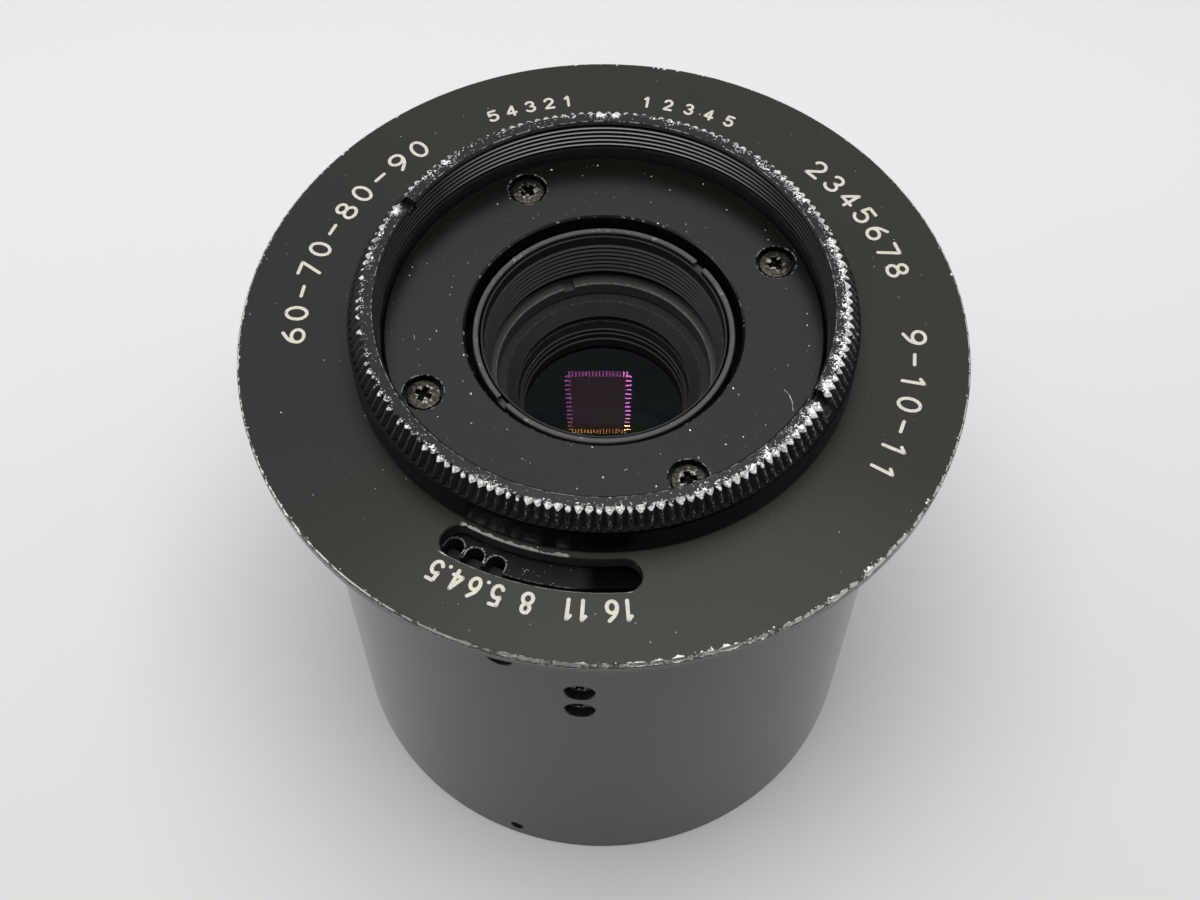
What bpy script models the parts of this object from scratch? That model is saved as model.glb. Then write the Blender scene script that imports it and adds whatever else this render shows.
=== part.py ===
"""Zoom printing lens for an enlarger: a flanged barrel, a knurled zoom ring that slides two lens groups
through a cam sleeve, and a six-blade iris that is set through a curved slot in the flange.

Metres, +Z along the optical axis towards the knurled ring, origin at the centre of the rear rim.
The aperture scale and its slot face -Y. The barrel's radius and length drive the nest of tubes: each
piece inside takes its radius from the piece round it, and its height from the flange down."""

import math

import bmesh
import bpy
from mathutils import Matrix, Vector

MM = 0.001

# Clearances
GAP = 0.3 * MM  # between fixed pieces that seat on each other
RUN = 0.3 * MM  # round a piece that moves
PIN_FIT = 0.15 * MM  # round a pin or screw in its own hole

# Facets
LARGE_STEPS = 48
TUBE_STEPS = 36
SMALL_STEPS = 24
PIN_STEPS = 16
SCREW_STEPS = 12
ARC_STEPS = 12
END_STEPS = 8
FORK_SLOT_END_STEPS = 6
LENS_STEPS = 3
SLOT_STEPS = 5
SLOT_END_ANGLES = (15, 45, 75)
SMOOTH_ANGLE_DEG = 30
MERGE_DISTANCE = 1e-7

# Barrel
BARREL_R = 38.5 * MM
BARREL_WALL = 2.2 * MM
BARREL_LENGTH = 79.3 * MM
RIM_CHAMFER = 0.3 * MM
SHOULDER_WIDTH = 2.0 * MM
SHOULDER_THICK = 2.0 * MM

# Rear ring and the guide tube's foot
REAR_RECESS = 0.5 * MM
REAR_RING_THICK = 5.2 * MM
REAR_RING_WIDTH = 14.0 * MM
REAR_OPENING_CHAMFER = 1.5 * MM
REAR_NOTCH_WIDTH = 2.5 * MM
REAR_NOTCH_DEPTH = 1.5 * MM
REAR_NOTCH_REACH = 6.0 * MM
GUIDE_FOOT_THICK = 2.7 * MM

# Flange
FLANGE_R = 45.0 * MM
FLANGE_THICK = 2.0 * MM
FLANGE_REBATE = 0.6 * MM
SPIGOT_WALL = 1.3 * MM
SPIGOT_LENGTH = 17.0 * MM
FLANGE_BORE_CLEAR = 0.6 * MM
APERTURE_SLOT_WIDTH = 4.3 * MM
SCALE_FIRST_DEG = -117.9
SCALE_LAST_DEG = -87.4
SLOT_BEFORE_SCALE_DEG = 1.54
SLOT_AFTER_SCALE_DEG = 1.14

# Barrel screws and set screws
BARREL_SCREWS = 3
SCREW_HEAD_R = 1.75 * MM
SCREW_HEAD_HEIGHT = 1.2 * MM
SCREW_SHANK_R = 1.0 * MM
SCREW_SHANK_LENGTH = 3.4 * MM
SPIGOT_SCREW_LENGTH = 1.6 * MM
SCREW_SUNK = 0.8 * MM
SCREW_HEAD_CLEAR = 0.2 * MM
HEAD_CHAMFER = 0.25 * MM
BARREL_SCREW_BELOW = 14.6 * MM
BARREL_SCREW_DEG = -109.3
SET_SCREW_R = 0.8 * MM
SET_SCREW_LENGTH = 3.0 * MM
SET_SCREW_SUNK = 0.5 * MM
SET_SCREW_ABOVE = 3.1 * MM
SET_SCREW_DEG = -109.6
RECESS_ARM = 1.0 * MM
RECESS_WIDTH = 0.45 * MM
RECESS_DEPTH = 0.7 * MM

# Stop block
STOP_DEG = -94.45
STOP_HEIGHT = 11.0 * MM
STOP_WIDTH = 6.0 * MM
STOP_BELOW = 23.5 * MM
STOP_SCREW_PITCH = 5.4 * MM
STOP_BLOCK_CLEAR = 1.5 * MM
STOP_NOSE_WIDTH = 4.0 * MM
STOP_NOSE_HEIGHT = 4.0 * MM

# Guide tube and face plate
GUIDE_WALL = 2.1 * MM
BOSS_WIDTH = 6.0 * MM
BOSS_THICK = 4.6 * MM
PLATE_OVERHANG = 0.1 * MM
PLATE_WIDTH = 9.98 * MM
PLATE_HOLE_CLEAR = 0.92 * MM
PLATE_THICK = 2.2 * MM
PLATE_RISE = 1.07 * MM
PLATE_SCREW_INSET = 3.2 * MM
PLATE_SCREW_DEG = 24.4
PLATE_SCREW_COUNT = 4
PLATE_SCREW_TURN_DEG = 20.0
PLATE_HEAD_R = 2.1 * MM
PLATE_HEAD_HEIGHT = 0.75 * MM
PLATE_HEAD_CLEAR = 0.4 * MM
PLATE_HEAD_SUNK = 0.25 * MM
PLATE_RECESS_DEPTH = 0.5 * MM
PLATE_SHANK_R = 1.3 * MM
PLATE_SHANK_LENGTH = 4.2 * MM

# Zoom ring and cam sleeve
ZOOM_MIN_DEG = -22.0
ZOOM_MAX_DEG = 33.0
FRONT_PER_DEG = 0.09 * MM  # the front group rises as the ring turns counter-clockwise
REAR_PER_DEG = -0.14 * MM  # and the rear group sinks
SLEEVE_GAP = 0.4 * MM
SLEEVE_WALL = 1.6 * MM
SLEEVE_COLLAR = 0.8 * MM
SLEEVE_COLLAR_THICK = 2.0 * MM
SLEEVE_GRIP = 2.2 * MM
SLEEVE_LAND = 1.65 * MM
RING_RISE = 7.2 * MM
RING_WALL = 1.75 * MM
RING_LEDGE = 1.8 * MM
RING_MOUTH_CHAMFER = 0.3 * MM
KNURL_STEP = 0.15 * MM
KNURL_TAPER = 1.25 * MM
KNURL_HEIGHT = 2.5 * MM
RING_NOTCH_DEG = 149.8
RING_NOTCH_WIDTH = 1.65 * MM
RING_NOTCH_DEPTH = 1.5 * MM
GRUB_DEG = 90.0
GRUB_R = 0.8 * MM
GRUB_LENGTH = 1.3 * MM
GRUB_ABOVE = 1.2 * MM

# Aperture ring
APERTURE_RING_DROP = 0.5 * MM
APERTURE_RING_THICK = 2.4 * MM
APERTURE_RING_WIDTH = 4.3 * MM
WASHER_THICK = 0.4 * MM
BEARING_WIDTH = 1.5 * MM
RETAINER_THICK = 1.8 * MM
RETAINER_NOTCH_WIDTH = 1.5 * MM
RETAINER_NOTCH_DEPTH = 0.8 * MM
PIN_NOTCH_R = 1.15 * MM
PIN_NOTCH_INSET = 0.8 * MM
PIN_NOTCH_PITCH_DEG = 4.6
PIN_NOTCH_COUNT = 3
PIN_NOTCH_PAST_DEG = 1.5
BAR_DEG = 60.0
BAR_WIDTH = 3.0 * MM
BAR_THICK = 1.6 * MM
BAR_FOOT_THICK = 1.2 * MM
BAR_FOOT_REACH = 1.4 * MM
BAR_SCREW_INSET = 1.4 * MM
BAR_SCREW_R = 0.5 * MM
BAR_SCREW_HEAD_R = 0.85 * MM
BAR_SCREW_HEAD_HEIGHT = 0.4 * MM

# Lens groups
CARRIER_HALF = 3.0 * MM
CARRIER_ROOM = 5.0 * MM
GROUP_CLEAR = 1.9 * MM
FOLLOWER_R = 1.25 * MM
FOLLOWER_BITE = 2.0 * MM
FOLLOWER_END = 0.3 * MM
FOLLOWERS = 3
FRONT_FOLLOWER_DEG = 90.0
REAR_FOLLOWER_DEG = 30.0
LIP_THICK = 1.5 * MM
LIP_WIDTH = 2.2 * MM
SPACER_WIDTH = 2.0 * MM

# Front group
TUBE_WALL = 0.7 * MM
TUBE_SINK = 0.1 * MM
TUBE_NOTCH_DEG = 40.0
TUBE_NOTCH_WIDTH = 1.5 * MM
TUBE_NOTCH_DEPTH = 0.8 * MM
FRONT_BODY_STEP = 2.3 * MM
BAFFLE_RING_INSET = 0.4 * MM
BAFFLE_RING_LENGTH = 6.1 * MM
BAFFLE_RING_TOP_WALL = 0.35 * MM
BAFFLE_RING_LOW_WALL = 0.9 * MM
CELL_RING_BELOW = 1.8 * MM
CELL_RING_THICK = 2.0 * MM
CELL_RING_WIDTH = 1.6 * MM
CELL_RING_NOTCH_DEG = 109.1
CELL_RING_NOTCH_WIDTH = 1.4 * MM
CELL_RING_NOTCH_DEPTH = 0.7 * MM
BAFFLE_LENGTH = 7.5 * MM
BAFFLE_STEP_WIDTHS = (2.7 * MM, 4.1 * MM, 4.3 * MM)
BAFFLE_STEP_HEIGHTS = (0.7 * MM, 2.0 * MM, 4.0 * MM)
BAFFLE_LIP_WIDTH = 4.8 * MM
FRONT_GLASS_CURVE_R = 39.0 * MM
FRONT_GLASS_EDGE = 3.2 * MM
FRONT_GLASS_BACK_SAG = 0.9 * MM
FRONT_SPACER_LENGTH = 7.44 * MM
SECOND_GLASS_EDGE = 2.0 * MM
SECOND_GLASS_SAG = -0.6 * MM

# Rear group and iris housing
TAIL_LENGTH = 7.0 * MM
TAIL_STEP = 5.0 * MM
TAIL_WALL = 4.1 * MM
IRIS_FLOOR = 1.8 * MM
IRIS_FLOOR_CLEAR = 0.6 * MM
IRIS_HOUSING_STEP = 2.1 * MM
IRIS_HOUSING_WALL = 2.1 * MM
PLUG_HEIGHT = 2.4 * MM
PLUG_WALL = 5.5 * MM
THIRD_GLASS_EDGE = 3.6 * MM
FOURTH_GLASS_EDGE = 3.2 * MM
REAR_GLASS_SAG = 0.8 * MM
TAIL_GLASS_EDGE = 3.6 * MM
RETAINING_THICK = 1.8 * MM
RETAINING_INSET = 0.6 * MM

# Iris
STOP_WIDE = 4.5
STOP_NARROW = 16.0
BLADES = 6
BLADE_PIVOT_INSET = 2.2 * MM
BLADE_EDGE_INSET = 1.2 * MM
BLADE_WIDTH = 6.6 * MM
BLADE_THICK = 0.25 * MM
BLADE_START_DEG = -8.0
BLADE_END_DEG = 128.0
BLADE_HEEL_DEG = 16.0
BLADE_LOBE_R = 1.6 * MM
BLADE_LOBE_ARC = (40.0, -130.0)
BLADE_PIN_R = 0.6 * MM
BLADE_STUD_R = 0.5 * MM
BLADE_STUD_LOBE_R = 1.1 * MM
BLADE_STUD_LOBE_ARC = (100.0, 20.0)
BLADE_STUD_DEG = 9.0
DRIVE_RING_THICK = 1.5 * MM
DRIVE_RING_WIDTH = 4.8 * MM
FORK_PRONG = 2.0 * MM
LEVER_CLEAR = 1.1 * MM

# Radii, from the barrel inwards
barrel_bore = BARREL_R - BARREL_WALL
inside_r = barrel_bore - GAP
rear_opening_r = inside_r - REAR_RING_WIDTH
spigot_bore = inside_r - SPIGOT_WALL
aperture_slot_r = inside_r - APERTURE_SLOT_WIDTH / 2
aperture_outer = spigot_bore - RUN
aperture_inner = aperture_outer - APERTURE_RING_WIDTH
bearing_inner = aperture_outer - BEARING_WIDTH
collar_r = aperture_inner - RUN
sleeve_r = collar_r - SLEEVE_COLLAR
sleeve_bore = sleeve_r - SLEEVE_WALL
flange_bore = sleeve_r + FLANGE_BORE_CLEAR
bar_inner = sleeve_r + 2 * RUN
bar_outer = bar_inner + BAR_THICK
bar_screw_r = aperture_inner + BAR_SCREW_INSET
ring_bore = sleeve_r + GAP
ring_base_r = ring_bore + RING_WALL
knurl_bottom_r = ring_base_r - KNURL_STEP
knurl_top_r = knurl_bottom_r - KNURL_TAPER
ring_thread_r = ring_bore - RING_LEDGE
guide_r = sleeve_bore - SLEEVE_GAP
guide_bore = guide_r - GUIDE_WALL
boss_r = guide_r - BOSS_WIDTH
plate_r = guide_r + PLATE_OVERHANG
plate_screw_r = guide_r - PLATE_SCREW_INSET
plate_hole_r = plate_r - PLATE_WIDTH
carrier_r = guide_bore - RUN
follower_outer = sleeve_r - FOLLOWER_END
follower_inner = carrier_r - FOLLOWER_BITE
tube_r = plate_hole_r - PLATE_HOLE_CLEAR
tube_bore = tube_r - TUBE_WALL
cell_r = tube_bore - GAP
front_body_r = tube_r + FRONT_BODY_STEP
baffle_lip_r = cell_r - BAFFLE_LIP_WIDTH
iris_housing_r = carrier_r - IRIS_HOUSING_STEP
iris_wall_bore = iris_housing_r - IRIS_HOUSING_WALL
drive_ring_r = iris_wall_bore - RUN
rear_bore_r = drive_ring_r - PLUG_WALL
rear_glass_r = rear_bore_r - GAP
tail_r = iris_housing_r - TAIL_STEP
tail_bore_r = tail_r - TAIL_WALL
blade_pivot_r = iris_wall_bore - BLADE_PIVOT_INSET
blade_outer_r = blade_pivot_r - BLADE_EDGE_INSET
iris_radius = blade_outer_r - BLADE_WIDTH
lever_width = BAR_WIDTH + 2 * RUN + 2 * FORK_PRONG

# Travels
front_up = FRONT_PER_DEG * ZOOM_MAX_DEG
front_down = -FRONT_PER_DEG * ZOOM_MIN_DEG
rear_up = REAR_PER_DEG * ZOOM_MIN_DEG
rear_down = -REAR_PER_DEG * ZOOM_MAX_DEG
scale_deg = SCALE_LAST_DEG - SCALE_FIRST_DEG
stop_share = STOP_WIDE / STOP_NARROW
blade_swing_deg = math.degrees(2 * math.asin(iris_radius * (1 - stop_share) / (2 * blade_pivot_r)))

# Heights of the fixed pieces
flange_low = BARREL_LENGTH + GAP - FLANGE_REBATE
flange_top = flange_low + FLANGE_THICK
rear_ring_top = REAR_RECESS + REAR_RING_THICK
set_screw_z = SET_SCREW_ABOVE
foot_low = rear_ring_top + GAP
foot_top = foot_low + GUIDE_FOOT_THICK
shoulder_low = foot_top + GAP
plate_top = flange_top + PLATE_RISE
plate_low = plate_top - PLATE_THICK
plate_seat = plate_top - PLATE_HEAD_SUNK - PLATE_HEAD_HEIGHT
guide_top = plate_low - GAP
boss_low = guide_top - BOSS_THICK
barrel_screw_z = flange_low - BARREL_SCREW_BELOW
stop_z = flange_low - STOP_BELOW
stop_screw_zs = (stop_z + STOP_SCREW_PITCH / 2, stop_z - STOP_SCREW_PITCH / 2)

# Heights of the two rings that turn
ring_low = flange_top + RUN
ring_top = flange_top + RING_RISE
knurl_low = ring_top - KNURL_HEIGHT
sleeve_top = ring_low + SLEEVE_GRIP
collar_top = flange_low - RUN
aperture_top = flange_low - APERTURE_RING_DROP
aperture_low = aperture_top - APERTURE_RING_THICK
washer_top = aperture_low - GAP
retainer_top = washer_top - WASHER_THICK - GAP
bar_top = aperture_low - GAP

# Front group, from the tube's edge down
tube_top = flange_top - TUBE_SINK
front_pin_z = boss_low - front_up - CARRIER_HALF - CARRIER_ROOM
baffle_ring_top = tube_top - BAFFLE_RING_INSET
baffle_ring_low = baffle_ring_top - BAFFLE_RING_LENGTH
cell_ring_top = baffle_ring_low - CELL_RING_BELOW
cell_ring_low = cell_ring_top - CELL_RING_THICK
baffle_top = cell_ring_low - GAP
baffle_low = baffle_top - BAFFLE_LENGTH
first_top = baffle_low - GAP - (cell_r**2 - baffle_lip_r**2) / (2 * FRONT_GLASS_CURVE_R)
first_low = first_top - FRONT_GLASS_EDGE
second_top = first_low - 2 * GAP - FRONT_SPACER_LENGTH
second_low = second_top - SECOND_GLASS_EDGE
front_low = second_low - GAP - LIP_THICK

# Rear group, from the front group down
rear_top = front_low - GROUP_CLEAR - front_down - rear_up
rear_pin_z = rear_top - CARRIER_HALF
sleeve_low = rear_pin_z - rear_down - FOLLOWER_R - RUN - SLEEVE_LAND
drive_top = sleeve_low - LEVER_CLEAR - rear_up
drive_low = drive_top - DRIVE_RING_THICK
blade_pitch = BLADE_THICK + GAP
blade_low = drive_low - BLADES * blade_pitch
iris_floor_top = blade_low - GAP
housing_floor = iris_floor_top - IRIS_FLOOR
tail_low = housing_floor - TAIL_LENGTH
carrier_low = drive_top + GAP
housing_top = carrier_low + PLUG_HEIGHT


def polar(radius, degrees, z=0.0):
    """A point at this radius and angle about the optical axis."""
    angle = math.radians(degrees)
    return Vector((radius * math.cos(angle), radius * math.sin(angle), z))


def spread(first, count):
    """Equally spaced angles round a full turn."""
    return [first + i * 360.0 / count for i in range(count)]


def arc(centre, radius, start, end, steps):
    """Points along an arc in the XY plane, as (x, y)."""
    turns = [math.radians(start + (end - start) * i / steps) for i in range(steps + 1)]
    return [(centre[0] + radius * math.cos(t), centre[1] + radius * math.sin(t)) for t in turns]


def clear_scene():
    for obj in list(bpy.data.objects):
        bpy.data.objects.remove(obj, do_unlink=True)


FINISHES = {
    "flange_black": ((0.045, 0.041, 0.037), 0.55, 0.0),
    "barrel_black": ((0.070, 0.070, 0.070), 0.38, 0.0),
    "ring_black": ((0.030, 0.033, 0.032), 0.30, 0.0),
    "baffle_black": ((0.018, 0.018, 0.018), 0.70, 0.0),
    "screw_steel": ((0.20, 0.19, 0.17), 0.35, 1.0),
    "machined_aluminium": ((0.55, 0.55, 0.56), 0.35, 1.0),
    "brass": ((0.60, 0.45, 0.20), 0.35, 1.0),
    "blade_steel": ((0.08, 0.08, 0.085), 0.45, 1.0),
    "coated_glass": ((0.75, 0.85, 0.80), 0.03, 0.0),
}


def finish(name, kind):
    """The piece's own Principled material."""
    colour, roughness, metallic = FINISHES[kind]
    material = bpy.data.materials.new(name + "_finish")
    material.use_nodes = True
    shader = material.node_tree.nodes["Principled BSDF"]
    shader.inputs["Base Color"].default_value = (*colour, 1.0)
    shader.inputs["Roughness"].default_value = roughness
    shader.inputs["Metallic"].default_value = metallic
    return material


def add_object(name, bm, kind, parent, location=(0, 0, 0)):
    """A named piece from a bmesh, smooth where it is round."""
    mesh = bpy.data.meshes.new(name)
    bmesh.ops.remove_doubles(bm, verts=bm.verts, dist=MERGE_DISTANCE)
    bmesh.ops.recalc_face_normals(bm, faces=bm.faces)
    bm.to_mesh(mesh)
    bm.free()
    mesh.shade_smooth()
    mesh.set_sharp_from_angle(angle=math.radians(SMOOTH_ANGLE_DEG))
    mesh.materials.append(finish(name, kind))
    obj = bpy.data.objects.new(name, mesh)
    obj.location = location
    obj.parent = parent
    bpy.context.collection.objects.link(obj)
    return obj


def add_empty(name, parent=None, location=(0, 0, 0)):
    empty = bpy.data.objects.new(name, None)
    empty.location = location
    empty.parent = parent
    bpy.context.collection.objects.link(empty)
    return empty


def cut(obj, name, bm):
    """Takes the cutter's shells out of the piece with a live Boolean."""
    cutter = add_object(name, bm, "machined_aluminium", obj.parent, obj.location)
    cutter.rotation_euler = obj.rotation_euler
    cutter.hide_render = True
    cutter.display_type = "WIRE"
    change = obj.modifiers.new(name, "BOOLEAN")
    change.operation = "DIFFERENCE"
    change.solver = "EXACT"
    change.object = cutter
    return obj


def turned(bm, profile, steps, closed=True):
    """Spins (radius, z) points round Z. An open profile starts and ends on the axis."""
    verts = [bm.verts.new((radius, 0.0, z)) for radius, z in profile]
    pairs = list(zip(verts, verts[1:]))
    if closed:
        pairs.append((verts[-1], verts[0]))
    edges = [bm.edges.new(pair) for pair in pairs]
    full = 2 * math.pi
    bmesh.ops.spin(
        bm, geom=verts + edges, axis=(0, 0, 1), cent=(0, 0, 0), angle=full, steps=steps, use_merge=True
    )


def turned_piece(name, profile, steps, kind, parent, closed=True):
    bm = bmesh.new()
    turned(bm, profile, steps, closed)
    return add_object(name, bm, kind, parent)


def ring(inner, outer, low, high):
    """The profile of a plain ring."""
    return [(outer, high), (outer, low), (inner, low), (inner, high)]


def prism(bm, outline, low, high):
    """A closed prism over an (x, y) outline."""
    base = [bm.verts.new((x, y, low)) for x, y in outline]
    top = [bm.verts.new((x, y, high)) for x, y in outline]
    bm.faces.new(base)
    bm.faces.new(top)
    for i, vert in enumerate(base):
        after = (i + 1) % len(base)
        bm.faces.new((vert, base[after], top[after], top[i]))


def box(bm, degrees, radial, tangential, heights):
    """A box turned to an angle: (from, to) along the radius, its width across it, (low, high) in Z."""
    turn = Matrix.Rotation(math.radians(degrees), 3, "Z")
    start, end = radial
    half = tangential / 2
    corners = [(start, -half), (end, -half), (end, half), (start, half)]
    prism(bm, [(turn @ Vector((x, y, 0)))[:2] for x, y in corners], *heights)


def radial_prism(bm, degrees, outline, width):
    """A prism over a (radius, z) outline, turned to an angle and of this width across it."""
    turn = Matrix.Rotation(math.radians(degrees), 3, "Z")
    sides = []
    for half in (-width / 2, width / 2):
        sides.append([bm.verts.new(turn @ Vector((r, half, z))) for r, z in outline])
    for side in sides:
        bm.faces.new(side)
    for i in range(len(outline)):
        after = (i + 1) % len(outline)
        bm.faces.new((sides[0][i], sides[0][after], sides[1][after], sides[1][i]))


def rod(bm, radius, start, end, steps=SCREW_STEPS):
    """A closed cylinder between two points."""
    along = end - start
    place = Matrix.Translation((start + end) / 2) @ along.to_track_quat("Z", "Y").to_matrix().to_4x4()
    length = along.length
    bmesh.ops.create_cone(
        bm, cap_ends=True, segments=steps, radius1=radius, radius2=radius, depth=length, matrix=place
    )


def radial_rods(radius, inner, outer, places):
    """One cutter with a radial cylinder at each (degrees, z)."""
    bm = bmesh.new()
    for degrees, z in places:
        rod(bm, radius, polar(inner, degrees, z), polar(outer, degrees, z))
    return bm


def arc_slot(bm, centre_r, width, start, end, low, high):
    """A curved slot with round ends, whose end centres lie at the two angles."""
    half = width / 2
    outline = arc((0, 0), centre_r + half, start, end, ARC_STEPS)
    outline += arc(polar(centre_r, end), half, end, end + 180, END_STEPS)[1:]
    outline += arc((0, 0), centre_r - half, end, start, ARC_STEPS)[1:]
    outline += arc(polar(centre_r, start), half, start + 180, start + 360, END_STEPS)[1:-1]
    prism(bm, outline, low, high)


def wall_slot(bm, inner, outer, start, end, width, steps=SLOT_STEPS):
    """A round-ended slot through a tube wall, straight on the unrolled tube between two (degrees, z)."""
    middle = (inner + outer) / 2
    first = Vector((math.radians(start[0]) * middle, start[1]))
    last = Vector((math.radians(end[0]) * middle, end[1]))
    along = (last - first).normalized()
    across = Vector((-along.y, along.x))
    half = width / 2
    round_end = [polar(half, angle) for angle in SLOT_END_ANGLES]
    stations = [(first, -point.x, point.y) for point in round_end]
    stations += [(first.lerp(last, i / steps), 0.0, half) for i in range(steps + 1)]
    stations += [(last, point.x, point.y) for point in reversed(round_end)]
    loops = []
    for centre, reach, side in stations:
        corners = []
        for sign, radius in ((-1, inner), (-1, outer), (1, outer), (1, inner)):
            point = centre + along * reach + across * side * sign
            corners.append(bm.verts.new(polar(radius, math.degrees(point.x / middle), point.y)))
        loops.append(corners)
    for before, after in zip(loops, loops[1:]):
        for i in range(4):
            bm.faces.new((before[i], before[(i + 1) % 4], after[(i + 1) % 4], after[i]))
    bm.faces.new(loops[0])
    bm.faces.new(loops[-1])


def window(bm, inner, outer, start, end, low, high, steps=SLOT_STEPS):
    """A cutter for a window through a tube wall between two angles."""
    outline = arc((0, 0), outer, start, end, steps) + arc((0, 0), inner, end, start, steps)
    prism(bm, outline, low, high)


def screw_mesh(name, head_r, head_height, shank_r, shank_length, recess_depth):
    """A cross-head screw, its head's seat at z = 0 and its shank down: made once and shared."""
    edge = HEAD_CHAMFER
    profile = [(0.0, head_height), (head_r - edge, head_height), (head_r, head_height - edge)]
    profile += [(head_r, 0.0), (shank_r, 0.0), (shank_r, -shank_length), (0.0, -shank_length)]
    screw = turned_piece(name, profile, SCREW_STEPS, "screw_steel", None, closed=False)
    wide = RECESS_ARM
    thin = RECESS_WIDTH / 2
    cross = [(wide, -thin), (wide, thin), (thin, thin), (thin, wide), (-thin, wide), (-thin, thin)]
    cross += [(-wide, thin), (-wide, -thin), (-thin, -thin), (-thin, -wide), (thin, -wide), (thin, -thin)]
    bm = bmesh.new()
    prism(bm, cross, head_height - recess_depth, head_height + GAP)
    cut(screw, name + "_recess", bm)
    graph = bpy.context.evaluated_depsgraph_get()
    mesh = bpy.data.meshes.new_from_object(screw.evaluated_get(graph))
    cutter = screw.modifiers[0].object
    bpy.data.objects.remove(cutter, do_unlink=True)
    bpy.data.objects.remove(screw, do_unlink=True)
    return mesh


def place_screw(name, mesh, parent, seat, rotation):
    """A screw object that shares its mesh but has its own finish."""
    obj = bpy.data.objects.new(name, mesh)
    bpy.context.collection.objects.link(obj)
    obj.parent = parent
    obj.location = seat
    obj.rotation_euler = rotation
    obj.material_slots[0].link = "OBJECT"
    obj.material_slots[0].material = finish(name, "screw_steel")
    return obj


def outward(degrees):
    """Turns a piece's +Z to point away from the optical axis."""
    return (0.0, math.pi / 2, math.radians(degrees))


def lens(name, parent, radius, low, high, low_sag, high_sag, steps=LENS_STEPS):
    """A glass element. Each sag is how far its face bulges past its edge."""
    def face(edge_z, sag, side):
        return [
            (radius * i / steps, edge_z + side * sag * (1 - (i / steps) ** 2)) for i in range(steps + 1)
        ]

    profile = face(high, high_sag, 1) + face(low, low_sag, -1)[::-1]
    return turned_piece(name, profile, SMALL_STEPS, "coated_glass", parent, closed=False)


def notch_pair(low, high, inner, outer, width, degrees):
    """A cutter for two opposed spanner notches."""
    bm = bmesh.new()
    for turn in (0.0, 180.0):
        box(bm, degrees + turn, (inner, outer), width, (low, high))
    return bm


# Housing

def build_barrel(parent):
    edge = RIM_CHAMFER
    lip_r = barrel_bore - SHOULDER_WIDTH
    shoulder_top = shoulder_low + SHOULDER_THICK
    profile = [(BARREL_R, BARREL_LENGTH), (BARREL_R, edge), (BARREL_R - edge, 0.0), (barrel_bore, 0.0)]
    profile += [(barrel_bore, shoulder_low), (lip_r, shoulder_low), (lip_r, shoulder_top)]
    profile += [(barrel_bore, shoulder_top), (barrel_bore, BARREL_LENGTH)]
    barrel = turned_piece("outer_barrel", profile, LARGE_STEPS, "barrel_black", parent)
    inner = barrel_bore - GAP
    outer = BARREL_R + GAP
    head_places = [(degrees, barrel_screw_z) for degrees in spread(BARREL_SCREW_DEG, BARREL_SCREWS)]
    head_places += [(STOP_DEG, z) for z in stop_screw_zs]
    cut(barrel, "screw_head_holes", radial_rods(SCREW_HEAD_R + SCREW_HEAD_CLEAR, inner, outer, head_places))
    set_places = [(degrees, set_screw_z) for degrees in spread(SET_SCREW_DEG, BARREL_SCREWS)]
    cut(barrel, "set_screw_holes", radial_rods(SET_SCREW_R + PIN_FIT, inner, outer, set_places))


def build_flange(parent):
    edge = RIM_CHAMFER
    spigot_low = flange_low - SPIGOT_LENGTH
    rebate_r = BARREL_R + GAP
    rebate_top = flange_low + FLANGE_REBATE
    profile = [(flange_bore, flange_top), (FLANGE_R - edge, flange_top), (FLANGE_R, flange_top - edge)]
    profile += [(FLANGE_R, flange_low + edge), (FLANGE_R - edge, flange_low)]
    profile += [(rebate_r, flange_low), (rebate_r, rebate_top), (inside_r, rebate_top)]
    profile += [(inside_r, spigot_low), (spigot_bore, spigot_low), (spigot_bore, flange_low)]
    profile += [(flange_bore, flange_low)]
    flange = turned_piece("front_flange", profile, LARGE_STEPS, "flange_black", parent)
    bm = bmesh.new()
    start = SCALE_FIRST_DEG - SLOT_BEFORE_SCALE_DEG
    end = SCALE_LAST_DEG + SLOT_AFTER_SCALE_DEG
    arc_slot(bm, aperture_slot_r, APERTURE_SLOT_WIDTH, start, end, aperture_low, flange_top + GAP)
    cut(flange, "aperture_slot_cut", bm)
    places = [(degrees, barrel_screw_z) for degrees in spread(BARREL_SCREW_DEG, BARREL_SCREWS)]
    holes = radial_rods(SCREW_SHANK_R + PIN_FIT, spigot_bore - GAP, inside_r + GAP, places)
    cut(flange, "spigot_screw_holes", holes)


def build_rear_ring(parent):
    edge = REAR_OPENING_CHAMFER
    profile = [(inside_r, rear_ring_top), (inside_r, REAR_RECESS), (rear_opening_r + edge, REAR_RECESS)]
    profile += [(rear_opening_r, REAR_RECESS + edge), (rear_opening_r, rear_ring_top)]
    rear = turned_piece("rear_ring", profile, TUBE_STEPS, "ring_black", parent)
    low = REAR_RECESS - GAP
    reach = rear_opening_r + REAR_NOTCH_REACH
    notches = notch_pair(
        low, REAR_RECESS + REAR_NOTCH_DEPTH, rear_opening_r - GAP, reach, REAR_NOTCH_WIDTH, 0.0
    )
    cut(rear, "rear_ring_notches", notches)
    places = [(degrees, set_screw_z) for degrees in spread(SET_SCREW_DEG, BARREL_SCREWS)]
    depth = BARREL_R - SET_SCREW_SUNK - SET_SCREW_LENGTH - GAP
    cut(rear, "set_screw_seats", radial_rods(SET_SCREW_R + PIN_FIT, depth, inside_r + GAP, places))


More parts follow.
